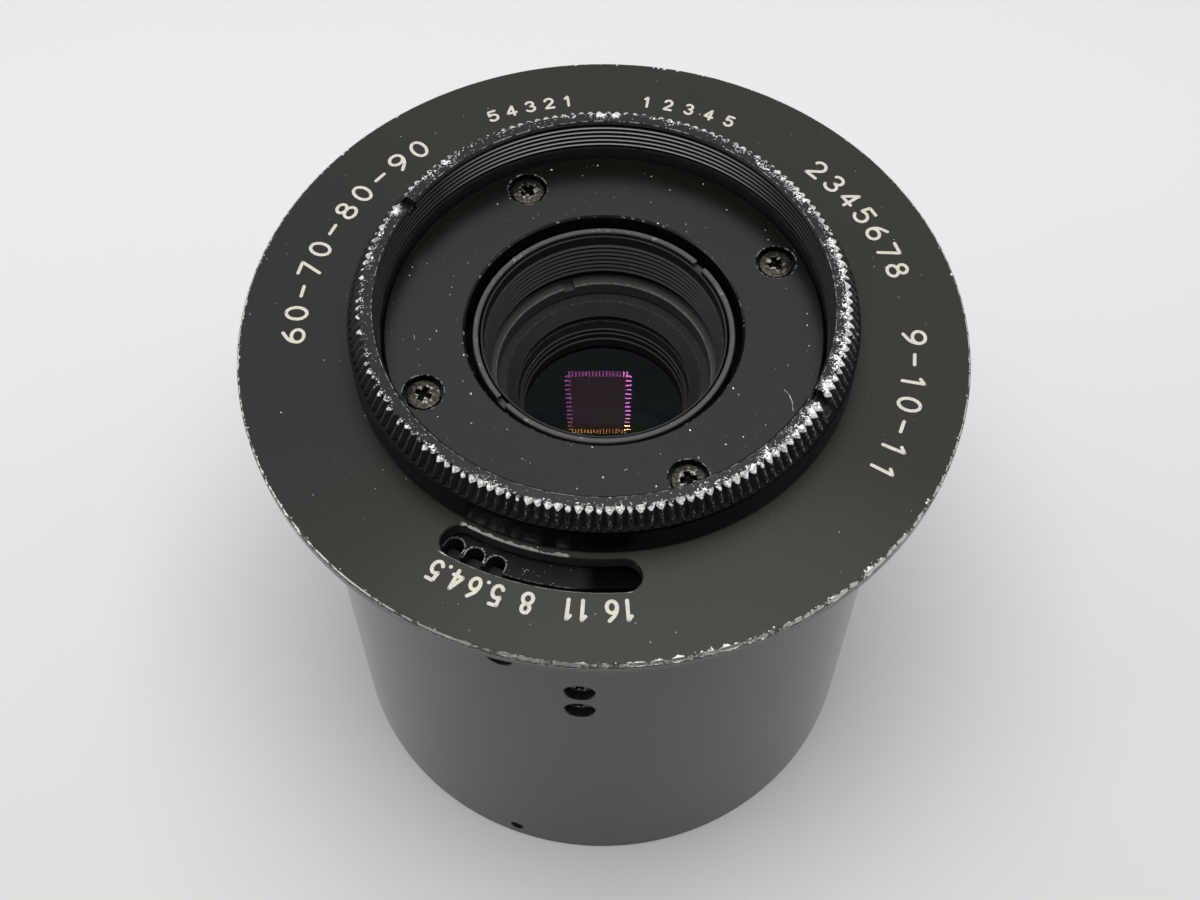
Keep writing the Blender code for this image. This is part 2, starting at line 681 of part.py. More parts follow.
def build_set_screws(parent):
    tip = BARREL_R - SET_SCREW_SUNK - SET_SCREW_LENGTH
    for i, degrees in enumerate(spread(SET_SCREW_DEG, BARREL_SCREWS)):
        bm = bmesh.new()
        rod(bm, SET_SCREW_R, Vector((0, 0, 0)), Vector((0, 0, SET_SCREW_LENGTH)))
        name = f"set_screw_{i + 1}"
        screw = add_object(name, bm, "screw_steel", parent, polar(tip, degrees, set_screw_z))
        screw.rotation_euler = outward(degrees)


def build_guide_tube(parent):
    profile = [(guide_r, guide_top), (guide_r, foot_top), (inside_r, foot_top), (inside_r, foot_low)]
    profile += [(guide_bore, foot_low), (guide_bore, boss_low), (boss_r, boss_low), (boss_r, guide_top)]
    guide = turned_piece("guide_tube", profile, TUBE_STEPS, "machined_aluminium", parent)
    bm = bmesh.new()
    inner = guide_bore - GAP
    outer = guide_r + GAP
    width = 2 * (FOLLOWER_R + RUN)
    for degrees in spread(FRONT_FOLLOWER_DEG, FOLLOWERS):
        low = (degrees, front_pin_z - front_down - RUN)
        wall_slot(bm, inner, outer, low, (degrees, front_pin_z + front_up + RUN), width, 1)
    for degrees in spread(REAR_FOLLOWER_DEG, FOLLOWERS):
        low = (degrees, rear_pin_z - rear_down - RUN)
        wall_slot(bm, inner, outer, low, (degrees, rear_pin_z + rear_up + RUN), width, 1)
    cut(guide, "straight_guide_slots", bm)
    bm = bmesh.new()
    lever_low = drive_low - rear_down - RUN
    window(bm, inner, outer, *lever_window(guide_bore), lever_low, drive_top + rear_up + RUN)
    cut(guide, "lever_window", bm)
    bm = bmesh.new()
    tip = plate_seat - PLATE_SHANK_LENGTH - GAP
    for degrees in spread(PLATE_SCREW_DEG, PLATE_SCREW_COUNT):
        low = polar(plate_screw_r, degrees, tip)
        rod(bm, PLATE_SHANK_R + PIN_FIT, low, polar(plate_screw_r, degrees, guide_top + GAP))
    cut(guide, "plate_screw_threads", bm)


def lever_window(radius):
    """The angles that the fork's arm sweeps through a wall at this radius, with clearance."""
    half = math.degrees(math.asin((lever_width / 2 + RUN) / radius))
    return BAR_DEG - half, BAR_DEG + scale_deg + half


def build_face_plate(parent):
    edge = RIM_CHAMFER
    profile = [(plate_r, plate_top - edge), (plate_r, plate_low), (plate_hole_r, plate_low)]
    profile += [(plate_hole_r, plate_top - edge), (plate_hole_r + edge, plate_top)]
    profile += [(plate_r - edge, plate_top)]
    plate = turned_piece("face_plate", profile, LARGE_STEPS, "flange_black", parent)
    shanks = bmesh.new()
    heads = bmesh.new()
    for degrees in spread(PLATE_SCREW_DEG, PLATE_SCREW_COUNT):
        low = polar(plate_screw_r, degrees, plate_low - GAP)
        floor = polar(plate_screw_r, degrees, plate_seat - GAP)
        top = polar(plate_screw_r, degrees, plate_top + GAP)
        rod(shanks, PLATE_SHANK_R + PIN_FIT, low, top)
        rod(heads, PLATE_HEAD_R + PLATE_HEAD_CLEAR, floor, top, SMALL_STEPS)
    cut(plate, "plate_shank_holes", shanks)
    cut(plate, "plate_counterbores", heads)


def build_screws(parent):
    plate_screw = screw_mesh(
        "plate_screw", PLATE_HEAD_R, PLATE_HEAD_HEIGHT, PLATE_SHANK_R, PLATE_SHANK_LENGTH, PLATE_RECESS_DEPTH
    )
    for i, degrees in enumerate(spread(PLATE_SCREW_DEG, PLATE_SCREW_COUNT)):
        seat = polar(plate_screw_r, degrees, plate_seat)
        turn = math.radians(degrees + PLATE_SCREW_TURN_DEG * i)
        place_screw(f"face_screw_{i + 1}", plate_screw, parent, seat, (0, 0, turn))
    seat_r = BARREL_R - SCREW_SUNK - SCREW_HEAD_HEIGHT
    head = (SCREW_HEAD_R, SCREW_HEAD_HEIGHT, SCREW_SHANK_R)
    spigot_screw = screw_mesh("spigot_screw", *head, SPIGOT_SCREW_LENGTH, RECESS_DEPTH)
    for i, degrees in enumerate(spread(BARREL_SCREW_DEG, BARREL_SCREWS)):
        seat = polar(seat_r, degrees, barrel_screw_z)
        place_screw(f"barrel_screw_{i + 1}", spigot_screw, parent, seat, outward(degrees))
    stop_screw = screw_mesh("stop_screw", *head, SCREW_SHANK_LENGTH, RECESS_DEPTH)
    for name, z in zip(("stop_screw_upper", "stop_screw_lower"), stop_screw_zs):
        place_screw(name, stop_screw, parent, polar(seat_r, STOP_DEG, z), outward(STOP_DEG))


def build_stop_block(parent):
    """A block on the barrel's inner wall whose nose runs in the cam sleeve's stop slot."""
    face = math.sqrt(inside_r**2 - (STOP_WIDTH / 2) ** 2)
    back = sleeve_r + STOP_BLOCK_CLEAR
    nose = sleeve_bore + RUN
    half = STOP_NOSE_HEIGHT / 2
    bm = bmesh.new()
    box(bm, STOP_DEG, (back, face), STOP_WIDTH, (stop_z - STOP_HEIGHT / 2, stop_z + STOP_HEIGHT / 2))
    block = add_object("stop_block", bm, "brass", parent)
    nose_bm = bmesh.new()
    box(nose_bm, STOP_DEG, (nose, back + GAP), STOP_NOSE_WIDTH, (stop_z - half, stop_z + half))
    join(block, "stop_nose", nose_bm)
    tip = BARREL_R - SCREW_SUNK - SCREW_HEAD_HEIGHT - SCREW_SHANK_LENGTH - GAP
    places = [(STOP_DEG, z) for z in stop_screw_zs]
    cut(block, "stop_screw_threads", radial_rods(SCREW_SHANK_R + PIN_FIT, tip, face + GAP, places))


def join(obj, name, bm):
    """Adds a shape to the piece with a live Boolean union."""
    tool = cut(obj, name, bm)
    tool.modifiers[-1].operation = "UNION"
    return obj


# Zoom ring

def build_zoom_ring(parent):
    shoulder = sleeve_top + GAP
    edge = RIM_CHAMFER / 2
    mouth = RING_MOUTH_CHAMFER
    profile = [(knurl_top_r - edge, ring_top), (knurl_top_r, ring_top - edge), (knurl_bottom_r, knurl_low)]
    profile += [(ring_base_r, knurl_low - edge), (ring_base_r, ring_low), (ring_bore, ring_low)]
    profile += [(ring_bore, shoulder), (ring_thread_r, shoulder)]
    profile += [(ring_thread_r, ring_top - mouth), (ring_thread_r + mouth, ring_top)]
    zoom_ring = turned_piece("zoom_ring", profile, LARGE_STEPS, "ring_black", parent)
    low = ring_top - RING_NOTCH_DEPTH
    inner = ring_thread_r - GAP
    outer = ring_base_r + GAP
    notches = notch_pair(low, ring_top + GAP, inner, outer, RING_NOTCH_WIDTH, RING_NOTCH_DEG)
    cut(zoom_ring, "ring_notches", notches)
    grub_z = ring_low + GRUB_ABOVE
    grub_hole = radial_rods(GRUB_R + PIN_FIT, ring_bore - GAP, outer, [(GRUB_DEG, grub_z)])
    cut(zoom_ring, "grub_hole", grub_hole)
    bm = bmesh.new()
    rod(bm, GRUB_R, Vector((0, 0, 0)), Vector((0, 0, GRUB_LENGTH)))
    grub = add_object("zoom_ring_grub", bm, "screw_steel", parent, polar(ring_bore, GRUB_DEG, grub_z))
    grub.rotation_euler = outward(GRUB_DEG)


def build_cam_sleeve(parent):
    collar_low = collar_top - SLEEVE_COLLAR_THICK
    profile = [(sleeve_r, sleeve_top), (sleeve_r, collar_top), (collar_r, collar_top), (collar_r, collar_low)]
    profile += [(sleeve_r, collar_low), (sleeve_r, sleeve_low)]
    profile += [(sleeve_bore, sleeve_low), (sleeve_bore, sleeve_top)]
    sleeve = turned_piece("cam_sleeve", profile, TUBE_STEPS, "brass", parent)
    inner = sleeve_bore - GAP
    outer = sleeve_r + GAP
    width = 2 * (FOLLOWER_R + RUN)
    bm = bmesh.new()
    groups = (
        (FRONT_FOLLOWER_DEG, front_pin_z, FRONT_PER_DEG),
        (REAR_FOLLOWER_DEG, rear_pin_z, REAR_PER_DEG),
    )
    for first, pin_z, rate in groups:
        for degrees in spread(first, FOLLOWERS):
            start = (degrees - ZOOM_MAX_DEG, pin_z + rate * ZOOM_MAX_DEG)
            end = (degrees - ZOOM_MIN_DEG, pin_z + rate * ZOOM_MIN_DEG)
            wall_slot(bm, inner, outer, start, end, width)
    cut(sleeve, "helical_cam_slots", bm)
    bm = bmesh.new()
    half = math.degrees(math.asin((STOP_NOSE_WIDTH / 2 + RUN) / sleeve_bore))
    clear = STOP_NOSE_HEIGHT / 2 + RUN
    start = STOP_DEG - ZOOM_MAX_DEG - half
    end = STOP_DEG - ZOOM_MIN_DEG + half
    window(bm, inner, outer, start, end, stop_z - clear, stop_z + clear)
    cut(sleeve, "stop_slot", bm)


# Aperture control

def build_aperture_ring(parent):
    profile = ring(aperture_inner, aperture_outer, aperture_low, aperture_top)
    aperture = turned_piece("aperture_ring", profile, TUBE_STEPS, "ring_black", parent)
    bm = bmesh.new()
    middle = SCALE_FIRST_DEG + PIN_NOTCH_PAST_DEG
    for i in range(PIN_NOTCH_COUNT):
        degrees = middle + (i - (PIN_NOTCH_COUNT - 1) / 2) * PIN_NOTCH_PITCH_DEG
        centre = polar(aperture_outer - PIN_NOTCH_INSET, degrees)
        outline = arc(centre, PIN_NOTCH_R, degrees + 90, degrees + 270, END_STEPS)
        side = polar(aperture_outer + GAP, degrees)
        across = polar(PIN_NOTCH_R, degrees + 90)
        outline += [(side - across)[:2], (side + across)[:2]]
        prism(bm, outline, aperture_low - GAP, aperture_top + GAP)
    cut(aperture, "pin_notches", bm)
    top = polar(bar_screw_r, BAR_DEG, aperture_top + GAP)
    bm = bmesh.new()
    rod(bm, BAR_SCREW_R + PIN_FIT, polar(bar_screw_r, BAR_DEG, aperture_low - GAP), top)
    cut(aperture, "bar_screw_hole", bm)
    floor = aperture_top - BAR_SCREW_HEAD_HEIGHT - PIN_FIT
    bm = bmesh.new()
    rod(bm, BAR_SCREW_HEAD_R + PIN_FIT, polar(bar_screw_r, BAR_DEG, floor), top)
    cut(aperture, "bar_screw_counterbore", bm)


def build_drive_bar(parent):
    """The bar that carries the aperture ring's turn down past the cam sleeve to the iris fork."""
    bar_low = drive_low - rear_down - LEVER_CLEAR
    foot_low_z = bar_top - BAR_FOOT_THICK
    foot_end = bar_outer + BAR_FOOT_REACH
    outline = [(bar_inner, bar_low), (bar_outer, bar_low), (bar_outer, foot_low_z), (foot_end, foot_low_z)]
    outline += [(foot_end, bar_top), (bar_inner, bar_top)]
    bm = bmesh.new()
    radial_prism(bm, BAR_DEG, outline, BAR_WIDTH)
    bar = add_object("aperture_drive_bar", bm, "brass", parent)
    hole = bmesh.new()
    hole_low = polar(bar_screw_r, BAR_DEG, foot_low_z - GAP)
    rod(hole, BAR_SCREW_R + PIN_FIT, hole_low, polar(bar_screw_r, BAR_DEG, bar_top + GAP))
    cut(bar, "bar_screw_thread", hole)
    seat = aperture_top - BAR_SCREW_HEAD_HEIGHT
    length = seat - foot_low_z
    head = BAR_SCREW_HEAD_HEIGHT
    profile = [(0.0, head), (BAR_SCREW_HEAD_R, head), (BAR_SCREW_HEAD_R, 0.0)]
    profile += [(BAR_SCREW_R, 0.0), (BAR_SCREW_R, -length), (0.0, -length)]
    screw = turned_piece("drive_bar_screw", profile, SCREW_STEPS, "screw_steel", parent, closed=False)
    screw.location = polar(bar_screw_r, BAR_DEG, seat)


def build_aperture_bearing(parent):
    """The washer and threaded retainer that hold the aperture ring up against its friction."""
    inner = bearing_inner
    profile = ring(inner, aperture_outer, washer_top - WASHER_THICK, washer_top)
    turned_piece("friction_washer", profile, SMALL_STEPS, "brass", parent)
    low = retainer_top - RETAINER_THICK
    profile = ring(inner, aperture_outer, low, retainer_top)
    retainer = turned_piece("aperture_retainer", profile, SMALL_STEPS, "machined_aluminium", parent)
    high = low + RETAINER_NOTCH_DEPTH
    notches = notch_pair(low - GAP, high, inner - GAP, aperture_outer + GAP, RETAINER_NOTCH_WIDTH, 0.0)
    cut(retainer, "retainer_notches", notches)


# Lens groups

def build_followers(prefix, parent, first, pin_z):
    """Follower pins that reach from the carrier through the guide slots into the cam slots."""
    for i, degrees in enumerate(spread(first, FOLLOWERS)):
        bm = bmesh.new()
        rod(bm, FOLLOWER_R, Vector((0, 0, 0)), Vector((0, 0, follower_outer - follower_inner)), PIN_STEPS)
        foot = polar(follower_inner, degrees, pin_z)
        pin = add_object(f"{prefix}_follower_{i + 1}", bm, "brass", parent, foot)
        pin.rotation_euler = outward(degrees)


def cut_follower_seats(carrier, name, first, pin_z):
    bm = bmesh.new()
    for degrees in spread(first, FOLLOWERS):
        start = polar(follower_inner - GAP, degrees, pin_z)
        rod(bm, FOLLOWER_R + PIN_FIT, start, polar(carrier_r + GAP, degrees, pin_z), PIN_STEPS)
    cut(carrier, name, bm)


def build_front_cell(parent):
    """The lens tube seen in the face plate, with the carrier ring and the body that holds the glass."""
    carrier_high = front_pin_z + CARRIER_HALF
    carrier_under = front_pin_z - CARRIER_HALF
    lip_r = tube_bore - LIP_WIDTH
    lip_top = front_low + LIP_THICK
    profile = [(tube_r, tube_top), (tube_r, carrier_high), (carrier_r, carrier_high)]
    profile += [(carrier_r, carrier_under), (front_body_r, carrier_under), (front_body_r, front_low)]
    profile += [(lip_r, front_low), (lip_r, lip_top), (tube_bore, lip_top), (tube_bore, tube_top)]
    cell = turned_piece("front_lens_tube", profile, TUBE_STEPS, "ring_black", parent)
    low = tube_top - TUBE_NOTCH_DEPTH
    inner = tube_bore - GAP
    notches = notch_pair(low, tube_top + GAP, inner, tube_r + GAP, TUBE_NOTCH_WIDTH, TUBE_NOTCH_DEG)
    cut(cell, "tube_notches", notches)
    cut_follower_seats(cell, "front_follower_seats", FRONT_FOLLOWER_DEG, front_pin_z)


def build_front_internals(parent):
    profile = [(cell_r, baffle_ring_top), (cell_r, baffle_ring_low)]
    profile += [(cell_r - BAFFLE_RING_LOW_WALL, baffle_ring_low)]
    profile += [(cell_r - BAFFLE_RING_TOP_WALL, baffle_ring_top)]
    turned_piece("ridged_baffle", profile, SMALL_STEPS, "baffle_black", parent)

    inner = cell_r - CELL_RING_WIDTH
    profile = ring(inner, cell_r, cell_ring_low, cell_ring_top)
    cell_ring = turned_piece("cell_retaining_ring", profile, SMALL_STEPS, "baffle_black", parent)
    low = cell_ring_top - CELL_RING_NOTCH_DEPTH
    high = cell_ring_top + GAP
    width = CELL_RING_NOTCH_WIDTH
    notches = notch_pair(low, high, inner - GAP, cell_r - GAP, width, CELL_RING_NOTCH_DEG)
    cut(cell_ring, "cell_ring_notches", notches)

    z = baffle_top - sum(BAFFLE_STEP_HEIGHTS)
    profile = [(cell_r, baffle_top), (cell_r, baffle_low), (baffle_lip_r, baffle_low), (baffle_lip_r, z)]
    for width, height in zip(reversed(BAFFLE_STEP_WIDTHS), reversed(BAFFLE_STEP_HEIGHTS)):
        profile += [(cell_r - width, z), (cell_r - width, z + height)]
        z += height
    turned_piece("stepped_baffle", profile, SMALL_STEPS, "baffle_black", parent)

    front_sag = cell_r**2 / (2 * FRONT_GLASS_CURVE_R)
    lens("front_element", parent, cell_r, first_low, first_top, FRONT_GLASS_BACK_SAG, front_sag)
    lens("second_element", parent, cell_r, second_low, second_top, 0.0, SECOND_GLASS_SAG)
    profile = ring(cell_r - SPACER_WIDTH, cell_r, second_top + GAP, first_low - GAP)
    turned_piece("front_spacer", profile, SMALL_STEPS, "baffle_black", parent)


def build_rear_carrier(parent):
    """The carrier ring with the follower pins: it plugs into the iris housing and holds two elements."""
    under = rear_pin_z - CARRIER_HALF
    seat = housing_top + GAP
    lip_r = rear_bore_r - LIP_WIDTH
    lip_top = carrier_low + LIP_THICK
    profile = [(carrier_r, rear_top), (carrier_r, under), (iris_housing_r, under), (iris_housing_r, seat)]
    profile += [(drive_ring_r, seat), (drive_ring_r, carrier_low), (lip_r, carrier_low)]
    profile += [(lip_r, lip_top), (rear_bore_r, lip_top), (rear_bore_r, rear_top)]
    carrier = turned_piece("rear_carrier", profile, TUBE_STEPS, "machined_aluminium", parent)
    cut_follower_seats(carrier, "rear_follower_seats", REAR_FOLLOWER_DEG, rear_pin_z)

    glass_r = rear_glass_r
    low = lip_top + GAP
    third_top = low + THIRD_GLASS_EDGE
    lens("third_element", parent, glass_r, low, third_top, REAR_GLASS_SAG, REAR_GLASS_SAG)
    retaining_top = rear_top - RETAINING_INSET
    retaining_low = retaining_top - RETAINING_THICK
    fourth_top = retaining_low - GAP
    fourth_low = fourth_top - FOURTH_GLASS_EDGE
    lens("fourth_element", parent, glass_r, fourth_low, fourth_top, -REAR_GLASS_SAG, REAR_GLASS_SAG)
    inner = glass_r - SPACER_WIDTH
    profile = ring(inner, glass_r, third_top + GAP, fourth_low - GAP)
    turned_piece("rear_spacer", profile, SMALL_STEPS, "baffle_black", parent)
    profile = ring(inner, glass_r, retaining_low, retaining_top)
    turned_piece("rear_retaining_ring", profile, SMALL_STEPS, "baffle_black", parent)


def build_iris_housing(parent):
    """The cup that holds the iris, with the blades' pivot pins on its floor and the tail tube below."""
    outer = iris_housing_r
    opening_r = iris_radius + IRIS_FLOOR_CLEAR
    profile = [(outer, housing_top), (outer, housing_floor), (tail_r, housing_floor), (tail_r, tail_low)]
    profile += [(tail_bore_r, tail_low), (tail_bore_r, housing_floor), (opening_r, housing_floor)]
    profile += [(opening_r, iris_floor_top), (iris_wall_bore, iris_floor_top)]
    profile += [(iris_wall_bore, housing_top)]
    housing = turned_piece("iris_housing", profile, TUBE_STEPS, "ring_black", parent)
    pins = bmesh.new()
    for degrees in spread(0.0, BLADES):
        foot = polar(blade_pivot_r, degrees, iris_floor_top - IRIS_FLOOR / 2)
        rod(pins, BLADE_PIN_R, foot, polar(blade_pivot_r, degrees, drive_low - GAP))
    join(housing, "pivot_pins", pins)
    bm = bmesh.new()
    inner = iris_wall_bore - GAP
    ends = lever_window(iris_wall_bore)
    window(bm, inner, outer + GAP, *ends, drive_low - RUN, housing_top + GAP)
    cut(housing, "fork_window", bm)

    glass_r = tail_bore_r - GAP
    top = housing_floor - GAP
    low = top - TAIL_GLASS_EDGE
    lens("fifth_element", parent, glass_r, low, top, REAR_GLASS_SAG, -REAR_GLASS_SAG)
    retaining_top = low - GAP
    profile = ring(glass_r - SPACER_WIDTH, glass_r, retaining_top - RETAINING_THICK, retaining_top)
    turned_piece("tail_retaining_ring", profile, SMALL_STEPS, "baffle_black", parent)


# Iris

def stud_place(turned_share):
    """The (radius, degrees) of a blade's drive stud when the blade has swung by this share of its range."""
    pivot = polar(blade_pivot_r, 0.0)
    arm = polar(blade_pivot_r, BLADE_STUD_DEG) - pivot
    swing = Matrix.Rotation(math.radians(blade_swing_deg * turned_share), 3, "Z")
    point = pivot + swing @ arm
    return point.length, math.degrees(math.atan2(point.y, point.x))


def build_drive_ring(parent):
    """The ring over the blades: a drive stud runs in each spiral slot, and the fork rides on the bar."""
    profile = ring(drive_ring_r - DRIVE_RING_WIDTH, drive_ring_r, drive_low, drive_top)
    drive = turned_piece("iris_drive_ring", profile, TUBE_STEPS, "brass", parent)
    lever = bmesh.new()
    fork_end = bar_outer + RUN
    box(lever, BAR_DEG, (drive_ring_r - FORK_PRONG / 2, fork_end), lever_width, (drive_low, drive_top))
    join(drive, "fork_arm", lever)
    gap = bmesh.new()
    heights = (drive_low - GAP, drive_top + GAP)
    box(gap, BAR_DEG, (bar_inner - RUN, fork_end + GAP), BAR_WIDTH + 2 * RUN, heights)
    cut(drive, "fork_gap", gap)
    slots = bmesh.new()
    half = BLADE_STUD_R + RUN
    steps = SLOT_STEPS
    for first in spread(0.0, BLADES):
        centres = []
        for i in range(steps + 1):
            radius, degrees = stud_place(i / steps)
            centres.append((radius, first + degrees - scale_deg * i / steps))
        near = centres[0][1]
        far = centres[-1][1]
        outline = [polar(radius + half, degrees)[:2] for radius, degrees in centres]
        outline += arc(polar(*centres[-1]), half, far, far - 180, FORK_SLOT_END_STEPS)[1:]
        outline += [polar(radius - half, degrees)[:2] for radius, degrees in reversed(centres)][1:]
        outline += arc(polar(*centres[0]), half, near + 180, near, FORK_SLOT_END_STEPS)[1:-1]
        prism(slots, outline, *heights)
    cut(drive, "spiral_slots", slots)


def build_blades(parent):
    """Six equal blades, each on its own level, with a pivot hole and a stud up into the drive ring."""
    pivot = polar(blade_pivot_r, 0.0)
    stud = polar(blade_pivot_r, BLADE_STUD_DEG)
    outline = arc((0, 0), iris_radius, BLADE_START_DEG, BLADE_END_DEG, ARC_STEPS)
    outline += arc((0, 0), blade_outer_r, BLADE_END_DEG, BLADE_HEEL_DEG, END_STEPS)
    outline += arc(stud, BLADE_STUD_LOBE_R, *BLADE_STUD_LOBE_ARC, END_STEPS // 2)
    outline += arc(pivot, BLADE_LOBE_R, *BLADE_LOBE_ARC, END_STEPS)
    for i, degrees in enumerate(spread(0.0, BLADES)):
        level = blade_low + i * blade_pitch
        hinge = add_empty(f"blade_hinge_{i + 1}", parent, polar(blade_pivot_r, degrees, level))
        hinge.rotation_euler = (0, 0, math.radians(degrees))
        bm = bmesh.new()
        prism(bm, [(x - pivot.x, y - pivot.y) for x, y in outline], 0.0, BLADE_THICK)
        blade = add_object(f"iris_blade_{i + 1}", bm, "blade_steel", hinge)
        post = bmesh.new()
        base = stud - pivot
        top = Vector((base.x, base.y, drive_top - GAP - level))
        rod(post, BLADE_STUD_R, base + Vector((0, 0, BLADE_THICK / 2)), top)
        join(blade, f"drive_stud_{i + 1}", post)
        hole = bmesh.new()
        rod(hole, BLADE_PIN_R + RUN, Vector((0, 0, -GAP)), Vector((0, 0, BLADE_THICK + GAP)))
        cut(blade, f"pivot_hole_{i + 1}", hole)


def main():
    clear_scene()
    housing = add_empty("housing_frame")
    build_barrel(housing)
    build_flange(housing)
    build_rear_ring(housing)
    build_set_screws(housing)
    build_guide_tube(housing)
    build_face_plate(housing)
    build_screws(housing)
    build_stop_block(housing)
    build_aperture_bearing(housing)

    zoom = add_empty("zoom_axis", housing)
    build_zoom_ring(zoom)
    build_cam_sleeve(zoom)

    aperture = add_empty("aperture_axis", housing)
    build_aperture_ring(aperture)
    build_drive_bar(aperture)

    front = add_empty("front_group_slide", housing)
    build_front_cell(front)
    build_front_internals(front)
    build_followers("front", front, FRONT_FOLLOWER_DEG, front_pin_z)

    rear = add_empty("rear_group_slide", housing)
    build_rear_carrier(rear)
    build_iris_housing(rear)
    build_followers("rear", rear, REAR_FOLLOWER_DEG, rear_pin_z)

    iris = add_empty("iris_axis", rear)
    build_drive_ring(iris)
    build_blades(rear)
    print(f"blade swing {blade_swing_deg:.3f} deg over {scale_deg:.1f} deg, height {ring_top / MM:.2f} mm")


main()
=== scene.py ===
# %% [markdown]
# # A zoom printing lens and its finishes
# The measured model of the lens is loaded as a fixed frame. Each step below makes one visible piece or
# one finish and lets it ride on the part of the frame that carries it, so every joint still works.

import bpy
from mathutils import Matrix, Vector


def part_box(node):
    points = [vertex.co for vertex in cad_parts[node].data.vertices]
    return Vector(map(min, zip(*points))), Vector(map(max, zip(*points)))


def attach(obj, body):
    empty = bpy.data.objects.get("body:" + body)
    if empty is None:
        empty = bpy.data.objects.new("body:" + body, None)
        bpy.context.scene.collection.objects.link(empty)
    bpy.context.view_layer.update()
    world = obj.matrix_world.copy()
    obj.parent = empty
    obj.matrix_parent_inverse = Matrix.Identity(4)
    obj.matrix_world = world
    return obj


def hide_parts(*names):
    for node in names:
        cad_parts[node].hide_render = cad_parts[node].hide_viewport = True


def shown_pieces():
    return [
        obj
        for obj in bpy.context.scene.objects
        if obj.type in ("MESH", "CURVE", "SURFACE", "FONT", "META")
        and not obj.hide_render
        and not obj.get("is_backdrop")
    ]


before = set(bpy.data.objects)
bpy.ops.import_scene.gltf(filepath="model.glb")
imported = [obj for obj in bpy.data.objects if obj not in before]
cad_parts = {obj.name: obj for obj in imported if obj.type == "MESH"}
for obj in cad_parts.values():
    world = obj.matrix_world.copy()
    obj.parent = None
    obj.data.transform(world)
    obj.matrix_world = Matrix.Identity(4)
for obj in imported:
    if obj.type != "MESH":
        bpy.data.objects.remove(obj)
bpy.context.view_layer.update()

# %% Tools for the work
import math
from collections import namedtuple

import bmesh
import bpy
from mathutils import Matrix, Vector

MM = 0.001
TURNS = 256  # steps of the large turned pieces
FINE_TURNS = 128  # steps of the glass
SHARP_EDGE = math.radians(30)


# %% [markdown]
# ## Where things are
# Nearly everything on a lens is round about one axis, so a place is a radius, an angle and a height.
# The heights come from the frame's own boxes. Only what a box can't say, such as a bore, is written here.

# %% A place about the axis
def polar(radius, degrees, height=0.0):
    """A point about the optical axis: radius and height in millimetres, angle in degrees."""
    angle = math.radians(degrees)
    return Vector((radius * math.cos(angle), radius * math.sin(angle), height)) * MM


def top_of(node):
    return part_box(node)[1].z / MM


def foot_of(node):
    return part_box(node)[0].z / MM


def radius_of(node):
    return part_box(node)[1].x / MM


# %% Measures of the main pieces, in millimetres
FLANGE_R = radius_of("front_flange")
FLANGE_TOP = top_of("front_flange")
FLANGE_LOW = FLANGE_TOP - 2.0
BARREL_R = radius_of("outer_barrel")
BARREL_TOP = top_of("outer_barrel")
PLATE_TOP = top_of("face_plate")
RING_TOP = top_of("zoom_ring") - 0.001  # a hair inside the frame's box
TUBE_TOP = top_of("front_lens_tube")
TUBE_BORE = 15.5
print(f"flange {2 * FLANGE_R:.1f} mm wide at {FLANGE_TOP:.1f} mm, ring top at {RING_TOP:.1f} mm")

# %% [markdown]
# ## The camera
# It looks down on the lens from in front, close enough for the near edge of the flange to look larger
# than the far one. A moderate lens and this distance give that perspective.

# %% Camera
LENS_MM = 50.81
CAMERA_PLACE = Vector((-0.00078, -0.12140, 0.25148))
CAMERA_DOWN = math.radians(58.58)
CAMERA_TURN = 0.0028
CAMERA_ROLL = 0.0029


def make_camera():
    data = bpy.data.cameras.new("camera")
    data.lens = LENS_MM
    data.sensor_width = 36.0
    data.clip_start = 0.005
    camera = bpy.data.objects.new("camera", data)
    bpy.context.scene.collection.objects.link(camera)
    level = math.cos(CAMERA_DOWN)
    ahead = Vector((math.sin(CAMERA_TURN) * level, math.cos(CAMERA_TURN) * level, -math.sin(CAMERA_DOWN)))
    right = Vector((math.cos(CAMERA_TURN), -math.sin(CAMERA_TURN), 0.0))
    up = right.cross(ahead)
    turn = Matrix((right, up, -ahead)).transposed() @ Matrix.Rotation(CAMERA_ROLL, 3, "Z")
    camera.matrix_world = Matrix.Translation(CAMERA_PLACE) @ turn.to_4x4()
    bpy.context.scene.camera = camera
    bpy.context.scene.view_settings.view_transform = "Standard"


make_camera()
print(f"camera {CAMERA_PLACE.length / MM:.0f} mm from the foot of the lens")

# %% [markdown]
# ## Sums in a node tree
# A worn edge is a sum: how near the edge, plus how rough the noise, less a limit. Written as nodes such a
# sum is hard to read. A small class wraps an output socket, so that + and * add the Math node that they
# stand for, and one method adds every other kind of node.

